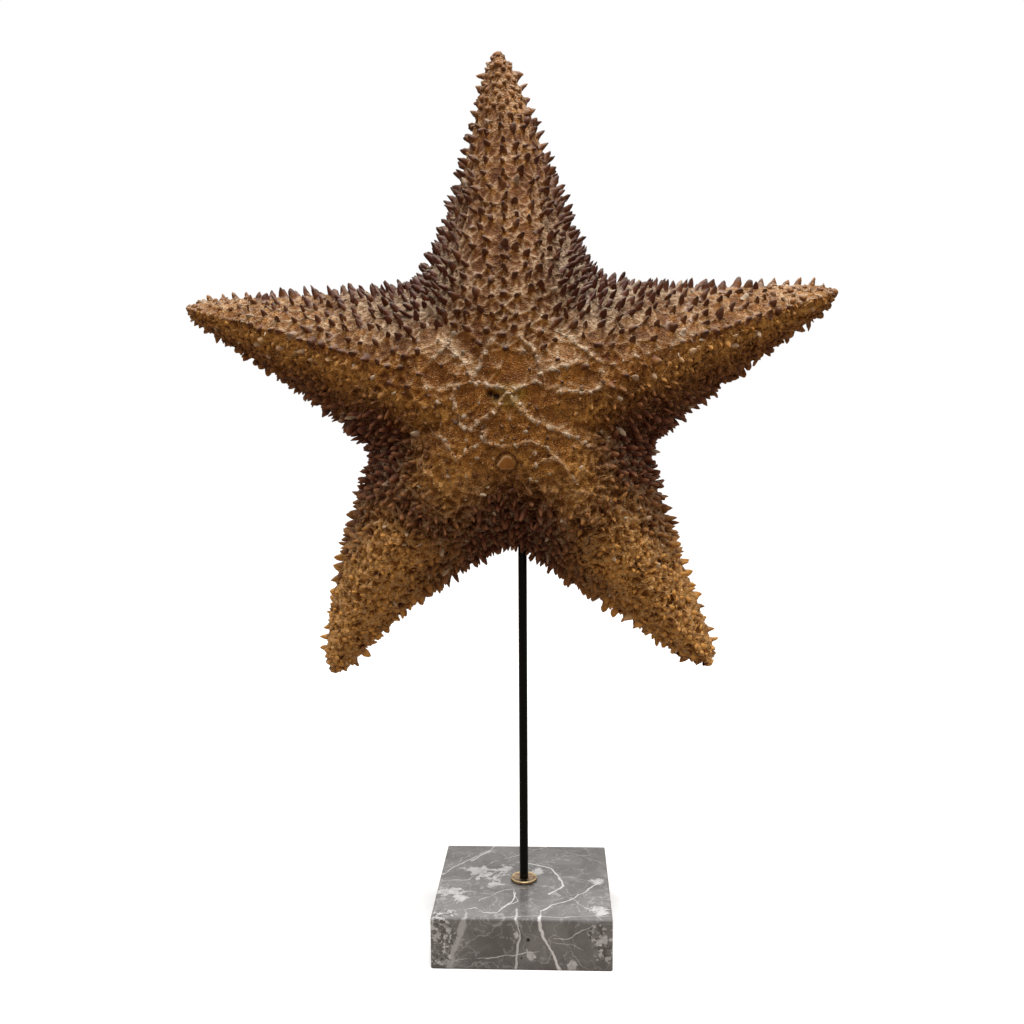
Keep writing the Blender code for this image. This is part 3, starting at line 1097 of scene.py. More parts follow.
def add_numbers(data, name, values, kind="FLOAT"):
    """Keeps a number or vector for each point of a mesh under this name."""
    layer = data.attributes.new(name, kind, "POINT")
    field = "vector" if kind == "FLOAT_VECTOR" else "value"
    exact = np.int32 if kind == "INT" else np.float32
    layer.data.foreach_set(field, np.ascontiguousarray(values, dtype=exact).ravel())


def numbers_of(data, name, exact=np.float32):
    """One number of each point of a mesh."""
    values = np.empty(len(data.vertices), dtype=exact)
    data.attributes[name].data.foreach_get("value", values)
    return values


def finished_piece(data, name, material):
    """A piece of the starfish: shaded smooth, dressed, and riding with the part."""
    data.name = name
    data.materials.clear()
    data.materials.append(material)
    data.shade_smooth()
    made = linked(name, data)
    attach(made, "root")
    return made


def goldness(place):
    """How golden it is: most on the lower arms, less just under the crests, a little at the tips."""
    low_arm = (place.arm >= LOWER_LEFT) * smooth(0.12, 0.42, place.share)
    below_crest = 0.65 * place.under * (1 - smooth(0.3, 0.8, place.side))
    tip = 0.10 * smooth(0.74, 0.9, place.share)
    return np.maximum.reduce([low_arm, below_crest, tip]) * (1 - place.pit)


def only(spines, mask):
    """The spines that a mask keeps."""
    place = Place(*(field[mask] for field in spines.place))
    return Spines(*(field[mask] for field in spines[:-1]), place)


def foot_cloud(spines, rng):
    """A cloud of points at the spines' feet, with all that the tree needs to know of each."""
    count = len(spines.feet)
    cloud = bpy.data.meshes.new("feet")
    cloud.from_pydata(spines.feet.tolist(), [], [])
    add_numbers(cloud, "kind", spines.step * VARIANTS + rng.integers(0, VARIANTS, count), "INT")
    add_numbers(cloud, "turn", rng.random(count) * FULL_TURN)
    add_numbers(cloud, "way", spines.ways, "FLOAT_VECTOR")
    add_numbers(cloud, "size", np.stack([spines.radii, spines.radii, spines.lengths], axis=1), "FLOAT_VECTOR")
    add_numbers(cloud, "tone", spines.tone)
    add_numbers(cloud, "pale", spines.pale)
    add_numbers(cloud, "pit", spines.place.pit)
    add_numbers(cloud, "gold", goldness(spines.place))
    lower = spines.place.arm >= LOWER_LEFT
    low = np.where(lower, 1.0, spines.place.under) * (1 - bareness(spines.place))
    add_numbers(cloud, "low", np.maximum(low, smooth(0.76, 0.88, spines.place.share)))
    add_numbers(cloud, "foot_dust", spines.dusty)
    dust_comes = smooth(-0.25, 0.25, spines.upward) * (1 - sheltered_share(spines.place))
    add_numbers(cloud, "upward", dust_comes)
    return linked("feet", cloud)


def grow_with(source, tree, settings, name):
    """The plain mesh that a geometry tree makes of an object, with these named inputs."""
    growth = source.modifiers.new(name, "NODES")
    growth.node_group = tree
    for label, value in settings.items():
        set_input(growth, label, value)
    return applied(source, name)


def triangle_count(data):
    return sum(len(face.vertices) - 2 for face in data.polygons)


def spine_piece(spines, name, material, rng):
    settings = {
        "Shapes": shapes,
        "Material": material,
        "Unevenness": UNEVENNESS,
        "Patches per metre": PATCHES_PER_METRE,
    }
    data = grow_with(foot_cloud(spines, rng), SPINE_TREE, settings, name)
    for spare in ("way", "turn", "size", "kind"):
        if spare in data.attributes:
            data.attributes.remove(data.attributes[spare])
    made = finished_piece(data, name, material)
    facing = normals(data)[:, 2]
    # Dust on the spines' upper sides, which also carries a painted sheen there.
    dust_and_sheen_on_top = mix(0.05, 0.46, numbers_of(data, "upward")) * smooth(0.30, 0.85, facing)
    on_skirt = numbers_of(data, "foot_dust") * smooth(0.26, 0.07, numbers_of(data, "rise"))
    on_skirt *= smooth(-0.4, 0.3, facing)
    add_numbers(data, "dust", np.maximum(dust_and_sheen_on_top, 0.9 * on_skirt))
    print(name, len(spines.feet), "spines", triangle_count(data), "triangles")
    return made


# %% [markdown]
# ## Materials
#
# A material here is a small stack of causes: the bare skeleton's brown, the darker pits, the pale dust that
# has settled on whatever faces up, and a grain of pores and grit that also makes the bump. Painted shade
# darkens the hollows, the pores and the gaps between grains, painted glints brighten a few grains, and a
# painted sheen joins the dust on the spines' upper sides.

# %% Shader helpers
def mix_colour(tree, share, first, second, blend="MIX"):
    inputs = {0: share, 6: first, 7: second}
    made = add_node(tree, "ShaderNodeMix", inputs, data_type="RGBA", blend_type=blend)
    return made.outputs[2]


def compute(tree, operation, first, second=0.0):
    made = add_node(tree, "ShaderNodeMath", {0: first, 1: second}, operation=operation)
    return made.outputs[0]


def times(tree, first, second):
    return compute(tree, "MULTIPLY", first, second)


def between(tree, value, low, high, start=0.0, end=1.0):
    """Maps a value smoothly from one range to another."""
    inputs = {"Value": value, "From Min": low, "From Max": high, "To Min": start, "To Max": end}
    made = add_node(tree, "ShaderNodeMapRange", inputs, interpolation_type="SMOOTHSTEP")
    return made.outputs[0]


def noise(tree, vector, scale, detail=3.0, roughness=0.5, distortion=0.0):
    inputs = {
        "Vector": vector,
        "Scale": scale,
        "Detail": detail,
        "Roughness": roughness,
        "Distortion": distortion,
    }
    return add_node(tree, "ShaderNodeTexNoise", inputs)


def cells(tree, vector, scale, feature="F1"):
    return add_node(tree, "ShaderNodeTexVoronoi", {"Vector": vector, "Scale": scale}, feature=feature)


def red_of(tree, colour):
    """One even random number from a cell's random colour."""
    return add_node(tree, "ShaderNodeSeparateColor", {0: colour}).outputs[0]


def number_on_mesh(tree, name):
    return add_node(tree, "ShaderNodeAttribute", attribute_name=name).outputs["Fac"]


def object_coordinates(tree):
    return add_node(tree, "ShaderNodeTexCoord").outputs["Object"]


def use_group(tree, group, inputs=()):
    return add_node(tree, "ShaderNodeGroup", inputs, node_tree=group)


def new_material(name):
    material = bpy.data.materials.new(name)
    material.use_nodes = True
    tree = material.node_tree
    return material, tree, tree.nodes["Principled BSDF"]


def coat(tree, shader, colour, roughness):
    """Sets a shader's colour and how rough it is."""
    feed(tree, shader.inputs["Base Color"], colour)
    feed(tree, shader.inputs["Roughness"], roughness)


def bump(tree, shader, height, strength, distance):
    made = add_node(tree, "ShaderNodeBump", {"Height": height, "Strength": strength, "Distance": distance})
    feed(tree, shader.inputs["Normal"], made.outputs[0])


# %% [markdown]
# ### Grain and dust
#
# Two effects are shared by the skin and its spines. Grain is the porous, gritty surface of dried skeleton,
# which the sieve plate has too. Dust is the pale, matt film on top. Each is a node group, so the materials
# change together.

# %% Shared node groups
GRIT_SCALE = 1250.0
PORE_SCALE = 700.0
CRACKLE_SCALE = 330.0
BLOTCH_SCALE = 75.0
DUST_LIGHT = (0.60, 0.465, 0.320, 1)
DUST_DARK = (0.21, 0.118, 0.052, 1)


def grain_group():
    """Grit: rounded grains, a few of which carry painted glints. Pores: dark dots. Crackle: fine raised webs.
    Blotch: slow patches.
    """
    outputs = [(name, VALUE) for name in ("Grit", "Painted glint", "Pores", "Crackle", "Blotch", "Height")]
    tree, _, out = new_group("grain", [], outputs)
    place = object_coordinates(tree)
    warp = scaled(tree, noise(tree, place, 240.0, detail=2.0).outputs[1], 0.004)
    warped = vector_math(tree, "ADD", place, warp)
    gritty = cells(tree, place, GRIT_SCALE)
    grit = between(tree, gritty.outputs["Distance"], 0.62, 0.05)
    chance = red_of(tree, gritty.outputs["Color"])
    painted_glint = times(tree, between(tree, chance, 0.55, 0.95), grit)
    pores = between(tree, cells(tree, place, PORE_SCALE).outputs["Distance"], 0.26, 0.12)
    edge = cells(tree, warped, CRACKLE_SCALE, "DISTANCE_TO_EDGE").outputs["Distance"]
    crackle = between(tree, edge, 0.13, 0.01)
    blotch = noise(tree, place, BLOTCH_SCALE, detail=5.0, roughness=0.62).outputs[0]
    raised_part = compute(tree, "ADD", grit, times(tree, crackle, 0.9))
    height = compute(tree, "SUBTRACT", raised_part, times(tree, pores, 0.8))
    for socket, value in zip(out.inputs, (grit, painted_glint, pores, crackle, blotch, height)):
        feed(tree, socket, value)
    return tree


def dust_group():
    """Covers a colour with dust, in patches, and says how much of it is covered."""
    inputs = [("Color", COLOUR), ("Tint", COLOUR)]
    inputs += [(name, VALUE) for name in ("Amount", "Blotch", "Grit", "Raised")]
    tree, into, out = new_group("dust", inputs, [("Color", COLOUR), ("Cover", VALUE)])
    patchy = between(tree, into.outputs["Blotch"], 0.30, 0.62, 0.55, 1.0)
    lodged = between(tree, into.outputs["Grit"], 0.0, 1.0, 0.80, 1.0)
    cover = times(tree, times(tree, into.outputs["Amount"], patchy), lodged)
    cover = times(tree, cover, between(tree, into.outputs["Raised"], 0.0, 0.8, 0.70, 1.0))
    slow = between(tree, into.outputs["Blotch"], 0.35, 0.65, 0.0, 0.45)
    shade = compute(tree, "ADD", slow, times(tree, into.outputs["Raised"], 0.8))
    pale = mix_colour(tree, between(tree, shade, 0.0, 1.0), DUST_DARK, DUST_LIGHT)
    pale = mix_colour(tree, 1.0, pale, into.outputs["Tint"], "MULTIPLY")
    feed(tree, out.inputs["Color"], mix_colour(tree, cover, into.outputs["Color"], pale))
    feed(tree, out.inputs["Cover"], cover)
    return tree


GRAIN = grain_group()
DUST = dust_group()

# %% [markdown]
# ### Skin and spines
#
# The skin is ochre where it is stretched over webs and ridges, brown between them and nearly black-red in
# the pits, with painted shade in its hollows. A spine starts in the skin's colour, darkened at its foot by
# painted shade, and darkens to its tip, or lightens to it on the lower arms and the undersides, partly in
# its own golden colour and partly as a painted highlight. Now and then one is bleached.

# %% Starfish materials
BROWN = (0.200, 0.061, 0.008, 1)
OCHRE = (0.450, 0.180, 0.028, 1)
GOLD = (0.800, 0.405, 0.100, 1)
PIT_BROWN = (0.055, 0.008, 0.002, 1)
PIT_SPINE = (0.105, 0.022, 0.006, 1)
PIT_TIP_HIGHLIGHT = (0.36, 0.155, 0.070, 1)
SPINE_DUST_AND_SHEEN_TINT = (0.82, 0.84, 0.98, 1)
PAINTED_GLINT_COLOUR = (0.90, 0.55, 0.20, 1)
STAIN = (0.37, 0.27, 0.045, 1)
SPINE_BROWN = (0.070, 0.020, 0.008, 1)
SPINE_PALE = (0.56, 0.43, 0.30, 1)
SPINE_TIP = (0.028, 0.010, 0.007, 1)
PORE_SHADE = (0.040, 0.011, 0.003, 1)
SHADE_TINT = (0.40, 0.27, 0.18, 1)
SHINE = 0.20
SKIN_GLOSS = 0.34
SPINE_GLOSS = 0.42
DUST_MATT = 0.85
SPINE_RAISED = 0.6


def dusted(tree, shader, base, grain, gloss, raised_part, tint=(1, 1, 1, 1)):
    """Ends a material: dust over its colour, and a matt finish where the dust lies."""
    inputs = {
        "Color": base,
        "Tint": tint,
        "Amount": number_on_mesh(tree, "dust"),
        "Blotch": grain.outputs["Blotch"],
        "Grit": grain.outputs["Grit"],
        "Raised": raised_part,
    }
    dust = use_group(tree, DUST, inputs)
    roughness = between(tree, dust.outputs["Cover"], 0.0, 0.8, gloss, DUST_MATT)
    coat(tree, shader, dust.outputs["Color"], roughness)
    shader.inputs["Specular IOR Level"].default_value = SHINE


def painted_shade(tree, share, colour):
    """A colour multiplied towards a deep warm tint: painted shade, in hollows and between grains."""
    return mix_colour(tree, share, colour, SHADE_TINT, "MULTIPLY")


def layered(tree, base, *layers):
    """A colour with others laid over it in turn, each as (share, colour)."""
    for share, colour in layers:
        base = mix_colour(tree, share, base, colour)
    return base


def skin_material():
    material, tree, shader = new_material("starfish_skin_detail")
    grain = use_group(tree, GRAIN)
    blotch, grit = grain.outputs["Blotch"], grain.outputs["Grit"]
    web, gold = number_on_mesh(tree, "web"), number_on_mesh(tree, "gold")
    base = mix_colour(tree, between(tree, blotch, 0.38, 0.62), BROWN, OCHRE)
    raised_part = compute(tree, "MAXIMUM", web, grain.outputs["Crackle"])
    base = layered(
        tree,
        base,
        (times(tree, raised_part, 0.5), OCHRE),
        (times(tree, gold, between(tree, blotch, 0.36, 0.60, 0.55, 1.0)), GOLD),
        (number_on_mesh(tree, "pit"), PIT_BROWN),
        (number_on_mesh(tree, "stain"), STAIN),
    )
    # Painted shade between the grains.
    base = painted_shade(tree, between(tree, grit, 0.0, 0.6, 0.25, 0.0), base)
    base = layered(
        tree,
        base,
        # Painted glints: a few grains are painted bright.
        (times(tree, grain.outputs["Painted glint"], 0.8), PAINTED_GLINT_COLOUR),
        # Painted shade in the pores.
        (times(tree, grain.outputs["Pores"], 0.6), PORE_SHADE),
        (number_on_mesh(tree, "ridge"), SPINE_PALE),
    )
    # Painted shade in the skin's hollows.
    base = painted_shade(tree, number_on_mesh(tree, "hollow_shade"), base)
    dusted(tree, shader, base, grain, SKIN_GLOSS, web)
    bump(tree, shader, grain.outputs["Height"], 1.0, 0.0006)
    return material


def spine_material():
    material, tree, shader = new_material("spine_detail")
    grain = use_group(tree, GRAIN)
    rise, tone, pit, low, gold, pale = (
        number_on_mesh(tree, name) for name in ("rise", "tone", "pit", "low", "gold", "pale")
    )
    # Painted shade: a spine is dark at its foot, and in the pits it darkens towards its foot too.
    foot = mix_colour(tree, between(tree, grain.outputs["Blotch"], 0.38, 0.62), PIT_BROWN, BROWN)
    body = mix_colour(tree, times(tree, tone, 0.22), SPINE_BROWN, OCHRE)
    body = mix_colour(tree, times(tree, gold, between(tree, tone, 0.0, 0.8, 0.25, 0.80)), body, GOLD)
    tipped = between(tree, rise, 0.50, 0.95)
    dark = times(tree, tipped, between(tree, tone, 0.1, 0.7, 0.35, 0.95))
    base = layered(
        tree,
        foot,
        (between(tree, rise, 0.10, 0.55), body),
        (times(tree, pit, 0.9), mix_colour(tree, times(tree, tone, rise), PIT_BROWN, PIT_SPINE)),
        (times(tree, dark, compute(tree, "SUBTRACT", 1.0, low)), SPINE_TIP),
        # On low spines the tips lighten to ochre, partly their own colour and partly a painted highlight; in
        # the pits they lighten to a painted highlight.
        (times(tree, times(tree, tipped, low), 0.38), mix_colour(tree, pit, OCHRE, PIT_TIP_HIGHLIGHT)),
        (pale, SPINE_PALE),
    )
    # The spines' dust is tinted cool and grey: partly dust, partly a painted sheen.
    dusted(tree, shader, base, grain, SPINE_GLOSS, SPINE_RAISED, SPINE_DUST_AND_SHEEN_TINT)
    bump(tree, shader, grain.outputs["Height"], 0.45, 0.0003)
    return material


SKIN = skin_material()
SPINE = spine_material()

# %% [markdown]
# ## Putting the star together
#
# The skin takes the numbers that its material reads, and the spines are sorted by where they stand, so that
# each kind is a piece of its own.

# %% Star pieces
STAIN_AT = np.array((-0.0045, 0.3137))
STAIN_SPREAD = 0.013
STAIN_STRENGTH = 0.6
SIEVE_MOAT = 5.2 * MM
MOAT_HALF = 0.7 * MM
MOAT_SHADE = 0.85
PIT_DARK = 0.85
HOLLOW_SHADE = 0.9
RIDGE_PALE = 0.22
CRINKLE_PALE = 0.30
STREAK_GOLD = 0.20


def split_skin(domed_side):
    """The half of the skin on one side of the star's plane, and its points' places in the whole skin."""
    mesh = bmesh.new()
    mesh.from_mesh(skin_data)
    heights = skin_points[:, 1]
    mesh.verts.ensure_lookup_table()
    mesh.faces.ensure_lookup_table()
    spare = [
        face for face in mesh.faces if (sum(heights[v.index] for v in face.verts) < 0) != domed_side
    ]
    kept_index = mesh.verts.layers.int.new("kept")
    for vertex in mesh.verts:
        vertex[kept_index] = vertex.index
    bmesh.ops.delete(mesh, geom=spare, context="FACES")
    data = bpy.data.meshes.new("half")
    mesh.to_mesh(data)
    mesh.free()
    kept = numbers_of(data, "kept", np.int32)
    data.attributes.remove(data.attributes["kept"])
    return data, kept


def skin_numbers_by_name():
    """All that the skin's material reads, one number of each kind for each point."""
    flat = skin_points[:, (0, 2)] - STAIN_AT
    stain = 1 - smooth(0.35 * STAIN_SPREAD, STAIN_SPREAD, np.hypot(flat[:, 0], flat[:, 1] * 1.4))
    patchy = np.clip(0.7 + 0.8 * lump, 0, 1)
    opening = opening_depth() / OPENING_DEPTH
    moat = bell((from_place(MADREPORITE_AT) - SIEVE_MOAT) / MOAT_HALF) * skin_place.domed
    knobbly = low_half | (skin_place.arm == UPPER)
    # Painted shade: the skin's colour is darkened where it lies deep below its raised parts.
    deep = smooth(np.where(knobbly, 0.55, 0.30), np.where(knobbly, -0.55, -0.85), rise / MM)
    hollow_shade = HOLLOW_SHADE * deep * skin_place.domed * (1 - 0.6 * bareness(skin_place))
    crest = smooth(0.55, 0.95, crinkle) * crumpled * low_half
    return {
        # Painted shade: the two small openings and a ring round the sieve plate, where it meets the skin, are
        # darkened in colour.
        "pit": np.maximum.reduce([PIT_DARK * skin_place.pit, opening, MOAT_SHADE * moat]),
        "web": np.maximum.reduce([mound, web, disc_ridge, smooth(0.3, 0.9, crinkle) * crumpled]),
        "ridge": np.maximum(RIDGE_PALE * disc_ridge, CRINKLE_PALE * crest) * patchy,
        "hollow_shade": np.maximum.reduce([hollow_shade, opening, 0.8 * moat]),
        "gold": np.maximum(goldness(skin_place), STREAK_GOLD * below_tooth),
        "stain": stain * skin_place.domed * STAIN_STRENGTH * patchy * (1 - opening),
        "dust": skin_dust,
    }


def dress_skin(numbers):
    whole_normals = normals(skin_data)
    for name, domed_side in (("skin_domed", True), ("skin_oral", False)):
        data, kept = split_skin(domed_side)
        made = finished_piece(data, name, SKIN)
        data.normals_split_custom_set_from_vertices(whole_normals[kept])
        for label, values in numbers.items():
            add_numbers(data, label, values[kept])
        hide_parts("starfish")
        print(name, 2 * len(data.polygons), "triangles")


skin_numbers = skin_numbers_by_name()
dress_skin(skin_numbers)
domed = spines.place.domed
crowded = domed & (spines.place.pit > 0.5)
on_low_arms = domed & ~crowded & (spines.place.arm >= LOWER_LEFT)
on_high_arms = domed & ~crowded & ~on_low_arms
spine_piece(only(spines, on_high_arms), "spines_high_arms", SPINE, rng)
spine_piece(only(spines, on_low_arms), "spines_low_arms", SPINE, rng)
spine_piece(only(spines, crowded), "spines_pits", SPINE, rng)
spine_piece(only(spines, ~domed), "spines_oral", SPINE, rng)
spine_piece(scatter(grains, rng), "grains", SPINE, rng)
for shape in list(shapes.objects):
    bpy.data.objects.remove(shape)

# %% [markdown]
# ### Strands
#
# Where the skin has dried tight it stands up in thin strands, from spine to spine and along the disc's
# ridges. Each strand is a line of points on the skin. Geometry Nodes give the lines their thickness,
# because they only follow a path, and the strands then wear the skin's own material and numbers.

# %% The strand tree
def strand_tree():
    tree, into, out = geometry_tree("thicken_strands", ("Sides", "NodeSocketInt"))
    lines = add_node(tree, "GeometryNodeMeshToCurve", {"Mesh": into.outputs["Geometry"]})
    inputs = {"Resolution": into.outputs["Sides"], "Radius": 1.0}
    ring = add_node(tree, "GeometryNodeCurvePrimitiveCircle", inputs)
    inputs = {
        "Curve": lines.outputs[0],
        "Profile Curve": ring.outputs[0],
        "Scale": kept_number(tree, "thickness"),
        "Fill Caps": True,
    }
    tube = add_node(tree, "GeometryNodeCurveToMesh", inputs)
    return end_tree(tree, into, out, tube.outputs[0])


STRAND_TREE = strand_tree()

# %% Strands
STRAND_LONGEST = 9.0 * MM
STRAND_POINTS = 7
STRAND_THICK = 0.66 * MM
STRAND_THIN = 0.36 * MM
STRAND_CLIMB = 1.1 * MM
STRAND_SUNK = 0.1 * MM
STRAND_SIZES = (0.65, 1.25)
STRANDS_HIDDEN = 0.6
STRAND_SIDES = 4
STRAND_NEIGHBOURS = 4
STRAND_WOBBLE = 0.8 * MM
STRAND_UNEVEN = 0.9 * MM
RIDGE_STEP = 0.9 * MM
RIDGE_THICK = 0.85 * MM
RIDGE_SIDES = 8
LINE_WANDER = 1.1 * MM
LINE_WANDER_SCALE = 190


def on_skin(points, lift):
    """The points set on the raised skin, lifted a little, with the index of the nearest skin point."""
    tree = tree_of(raised)
    index = np.array([tree.find(point)[1] for point in points])
    outward = skin_normals[index]
    above = np.einsum("ij,ij->i", points - raised[index], outward)
    return points + outward * (lift - above)[:, None], index


def strand_lines(rng):
    """Lines from each plate to its nearest neighbours, thick and raised at the ends, thin in the middle.

    Dust hides some of them.
    """
    tree = tree_of(plate_points)
    lines = set()
    bare = bareness(plate_place)
    for first in range(len(plates)):
        if not plate_place.domed[first] or bare[first] > 0.5:
            continue
        for _, second, distance in tree.find_n(plate_points[first], STRAND_NEIGHBOURS + 1)[1:]:
            if distance < STRAND_LONGEST and plate_place.domed[second]:
                lines.add((min(first, second), max(first, second)))
    ends = np.array(sorted(lines))
    dusty = spines.dusty[ends].mean(axis=1)
    ends = ends[rng.random(len(ends)) > STRANDS_HIDDEN * dusty]
    share = np.linspace(0, 1, STRAND_POINTS)[None, :, None]
    start, end = plate_points[ends[:, 0]][:, None], plate_points[ends[:, 1]][:, None]
    points = start + (end - start) * share
    bow = np.sin(math.pi * share)
    points = points + bow * STRAND_WOBBLE * rng.normal(0, 1, (len(ends), 1, 3))
    near_end = (1 - bow[0, :, 0]) ** 2
    size = rng.uniform(*STRAND_SIZES, (len(ends), 1))
    thickness = mix(STRAND_THIN, STRAND_THICK, near_end)[None] * size
    lift = (near_end * STRAND_CLIMB - STRAND_SUNK)[None] * np.ones((len(ends), 1))
    return points.reshape(-1, 3), lift.ravel(), thickness.ravel(), [STRAND_POINTS] * len(ends)


def ridge_lines(rng):
    """The disc's ridges as lines in front of the skin, with knobs and gaps."""
    points, counts = [], []
    for ridge in RIDGES:
        line = evenly_along(np.array([(x, 0, z) for x, z in ridge]) * MM, RIDGE_STEP)
        flat = line + np.array(STAR_CENTRE)
        flat[:, 1] = -CROWN_HEIGHT
        flat[:, 0] += LINE_WANDER * noise_at(flat, LINE_WANDER_SCALE)
        flat[:, 2] += LINE_WANDER * noise_at(flat + 1, LINE_WANDER_SCALE)
        points.append(flat)
        counts.append(len(flat))
    points = np.concatenate(points)
    front = tree_of(front_points())
    nearest = np.array([front.find(point)[1] for point in points])
    points[:, 1] = raised[nearest, 1]
    knobs = smooth(-0.35, 0.45, noise_at(points, 420) + 0.3 * noise_at(points, 900))
    thickness = RIDGE_THICK * (0.35 + 1.15 * knobs)
    return points, thickness * 0.25 - 0.3 * MM, thickness, counts


def strand_piece(name, made_lines, sides, paleness_of):
    points, lift, thickness, counts = made_lines
    points, index = on_skin(points, lift)
    starts = np.concatenate([[0], np.cumsum(counts)[:-1]])
    links = np.concatenate([start + np.arange(count - 1) for start, count in zip(starts, counts)])
    edges = np.stack([links, links + 1], axis=1).tolist()
    mesh = bpy.data.meshes.new(name)
    mesh.from_pydata(points.tolist(), edges, [])
    add_numbers(mesh, "thickness", thickness)
    for label in ("pit", "gold", "stain", "dust"):
        add_numbers(mesh, label, skin_numbers[label][index])
    add_numbers(mesh, "web", np.ones(len(points)))
    add_numbers(mesh, "hollow_shade", np.zeros(len(points)))
    add_numbers(mesh, "ridge", paleness_of(points, index))
    source = linked(name, mesh)
    settings = {
        "Sides": sides,
        "Material": SKIN,
        "Unevenness": STRAND_UNEVEN,
        "Patches per metre": PATCHES_PER_METRE,
    }
    data = grow_with(source, STRAND_TREE, settings, name)
    print(name, len(counts), "strands", triangle_count(data), "triangles")
    return finished_piece(data, name, SKIN)


def strand_paleness(points, index):
    return mix(0.12, 0.24, low_half[index]) * (1 - skin_numbers["pit"][index])


def ridge_paleness(points, index):
    return 0.12 + 0.68 * smooth(-0.2, 0.5, noise_at(points, 260))


strand_piece("strands", strand_lines(rng), STRAND_SIDES, strand_paleness)
strand_piece("disc_ridges", ridge_lines(rng), RIDGE_SIDES, ridge_paleness)

# %% [markdown]
# ### The sieve plate
#
# One smooth, rounded plate stands out below the middle: the madreporite, through which the living star drew
# water. It is a low boss with a soft rim, faintly grooved, set flush on the skin.

# %% Madreporite
SIEVE_RADIUS = 5.3 * MM
SIEVE_HEIGHT = 1.1 * MM
SIEVE_SUNK = 1.6 * MM
SIEVE_RINGS = 14
SIEVE_SIDES = 48
SIEVE_CORNERS = 0.15
SIEVE_TURN = 1.57
SIEVE_OVAL = (1.12, 0.88)
SIEVE_RIM_AT = 0.75
SIEVE_RIM_HALF = 0.08
SIEVE_GROOVE = 0.10 * MM
SIEVE_COLOUR = (0.200, 0.072, 0.015, 1)
SIEVE_RIM = (0.680, 0.440, 0.230, 1)


def skin_in_front(place):
    """The skin's point and normal in front of a place on the disc."""
    index = np.where(skin_place.domed, from_place(place), 1.0).argmin()
    return Vector(raised[index]), Vector(skin_normals[index])


def sieve_material():
    material, tree, shader = new_material("sieve_plate_detail")
    grain = use_group(tree, GRAIN)
    rim = number_on_mesh(tree, "rim")
    base = mix_colour(tree, between(tree, grain.outputs["Blotch"], 0.35, 0.65, 0.0, 0.5), SIEVE_COLOUR, OCHRE)
    base = mix_colour(tree, times(tree, rim, 0.8), base, SIEVE_RIM)
    coat(tree, shader, base, between(tree, grain.outputs["Blotch"], 0.3, 0.7, 0.34, 0.48))
    shader.inputs["Specular IOR Level"].default_value = SHINE
    bump(tree, shader, grain.outputs["Pores"], 0.15, 0.0002)
    return material


def make_sieve():
    foot, outward = skin_in_front(MADREPORITE_AT)
    turn = outward.to_track_quat("Z", "Y")
    mesh = bmesh.new()
    kept = mesh.verts.layers.float.new("rim")
    rings = []
    for ring in range(SIEVE_RINGS + 1):
        share = ring / SIEVE_RINGS
        around = []
        for side in range(SIEVE_SIDES if ring else 1):
            angle = side * FULL_TURN / SIEVE_SIDES
            reach = SIEVE_RADIUS * (1 + SIEVE_CORNERS * math.cos(3 * angle + SIEVE_TURN)) * share
            dome = (1 - share**4) * SIEVE_HEIGHT - (share**8) * SIEVE_SUNK
            groove = SIEVE_GROOVE * math.cos(11 * angle) * share * (1 - share)
            wide, high = SIEVE_OVAL
            point = Vector((wide * reach * math.cos(angle), high * reach * math.sin(angle), dome + groove))
            around.append(mesh.verts.new(foot + turn @ point))
            around[-1][kept] = bell((share - SIEVE_RIM_AT) / SIEVE_RIM_HALF)
        rings.append(around)
    close_ring(mesh, rings[1], rings[0][0])
    join_rings(mesh, rings[1:])
    mesh.faces.new(list(reversed(rings[-1])))
    bmesh.ops.recalc_face_normals(mesh, faces=mesh.faces)
    data = bpy.data.meshes.new("madreporite")
    mesh.to_mesh(data)
    mesh.free()
    finished_piece(data, "madreporite", sieve_material())


make_sieve()

# %% [markdown]
# ## The marble block
#
# The block is sawn and polished grey marble, crossed by white veins. The cloudy ground and the fine hair
# veins come from noise. The few large veins have places of their own, so each is a short list of points on
# the block. A node group measures how far a point of the stone is from one stretch of vein, and noise makes
# it wander.

# %% Marble
TOP_VEINS = (
    (0.5, 1.0, ((-33, -40), (-26, -37), (-21, -42), (-14, -42), (-5, -27), (-4, -16))),
    (1.0, 0.9, ((-2, 24), (7, 21), (16, 18), (20, 5), (23, -8), (17, -15), (14, -19))),
    (0.7, 0.8, ((44, -1), (35, -16), (27, -26), (16, -33), (11, -40), (10, -50))),
    (0.8, 0.4, ((-32, -40), (-32, -50))),
    (0.8, 0.6, ((-3, -38), (-3, -50))),
    (0.6, 0.8, ((-50, 6), (-36, 27), (-23, 43), (-20, 50))),
    (1.8, 0.7, ((-33, 27), (-23, 41))),
    (0.4, 0.7, ((-50, -2), (-33, 0), (-20, 26), (0, 38), (14, 50))),
    (0.5, 0.6, ((-24, -28), (-16, -18), (-6, -12), (-2, -28), (-12, -36))),
    (0.4, 0.6, ((32, -28), (40, -44), (44, -50))),
    (0.4, 0.4, ((50, 20), (38, 34), (20, 44))),
    (0.6, 0.4, ((-14, -48), (4, -46), (22, -47), (48, -44))),
)
FRONT_VEINS = (
    (1.3, 1.0, ((10, 29), (12, 19), (17, 10), (22, 0))),
    (0.4, 0.7, ((17, 18), (26, 19), (34, 23), (42, 28))),
    (0.35, 0.6, ((13, 16), (26, 15), (34, 12))),
    (2.6, 0.42, ((-32, 29), (-34, 21), (-38, 5), (-39, 0))),
    (0.9, 0.75, ((-3, 29), (-1, 21), (-2, 11), (-3, 1))),
    (0.45, 0.75, ((-37, 5), (-21, 6), (-11, 8), (-2, 9), (11, 11))),
    (0.8, 0.5, ((4, 12), (7, 6))),
)
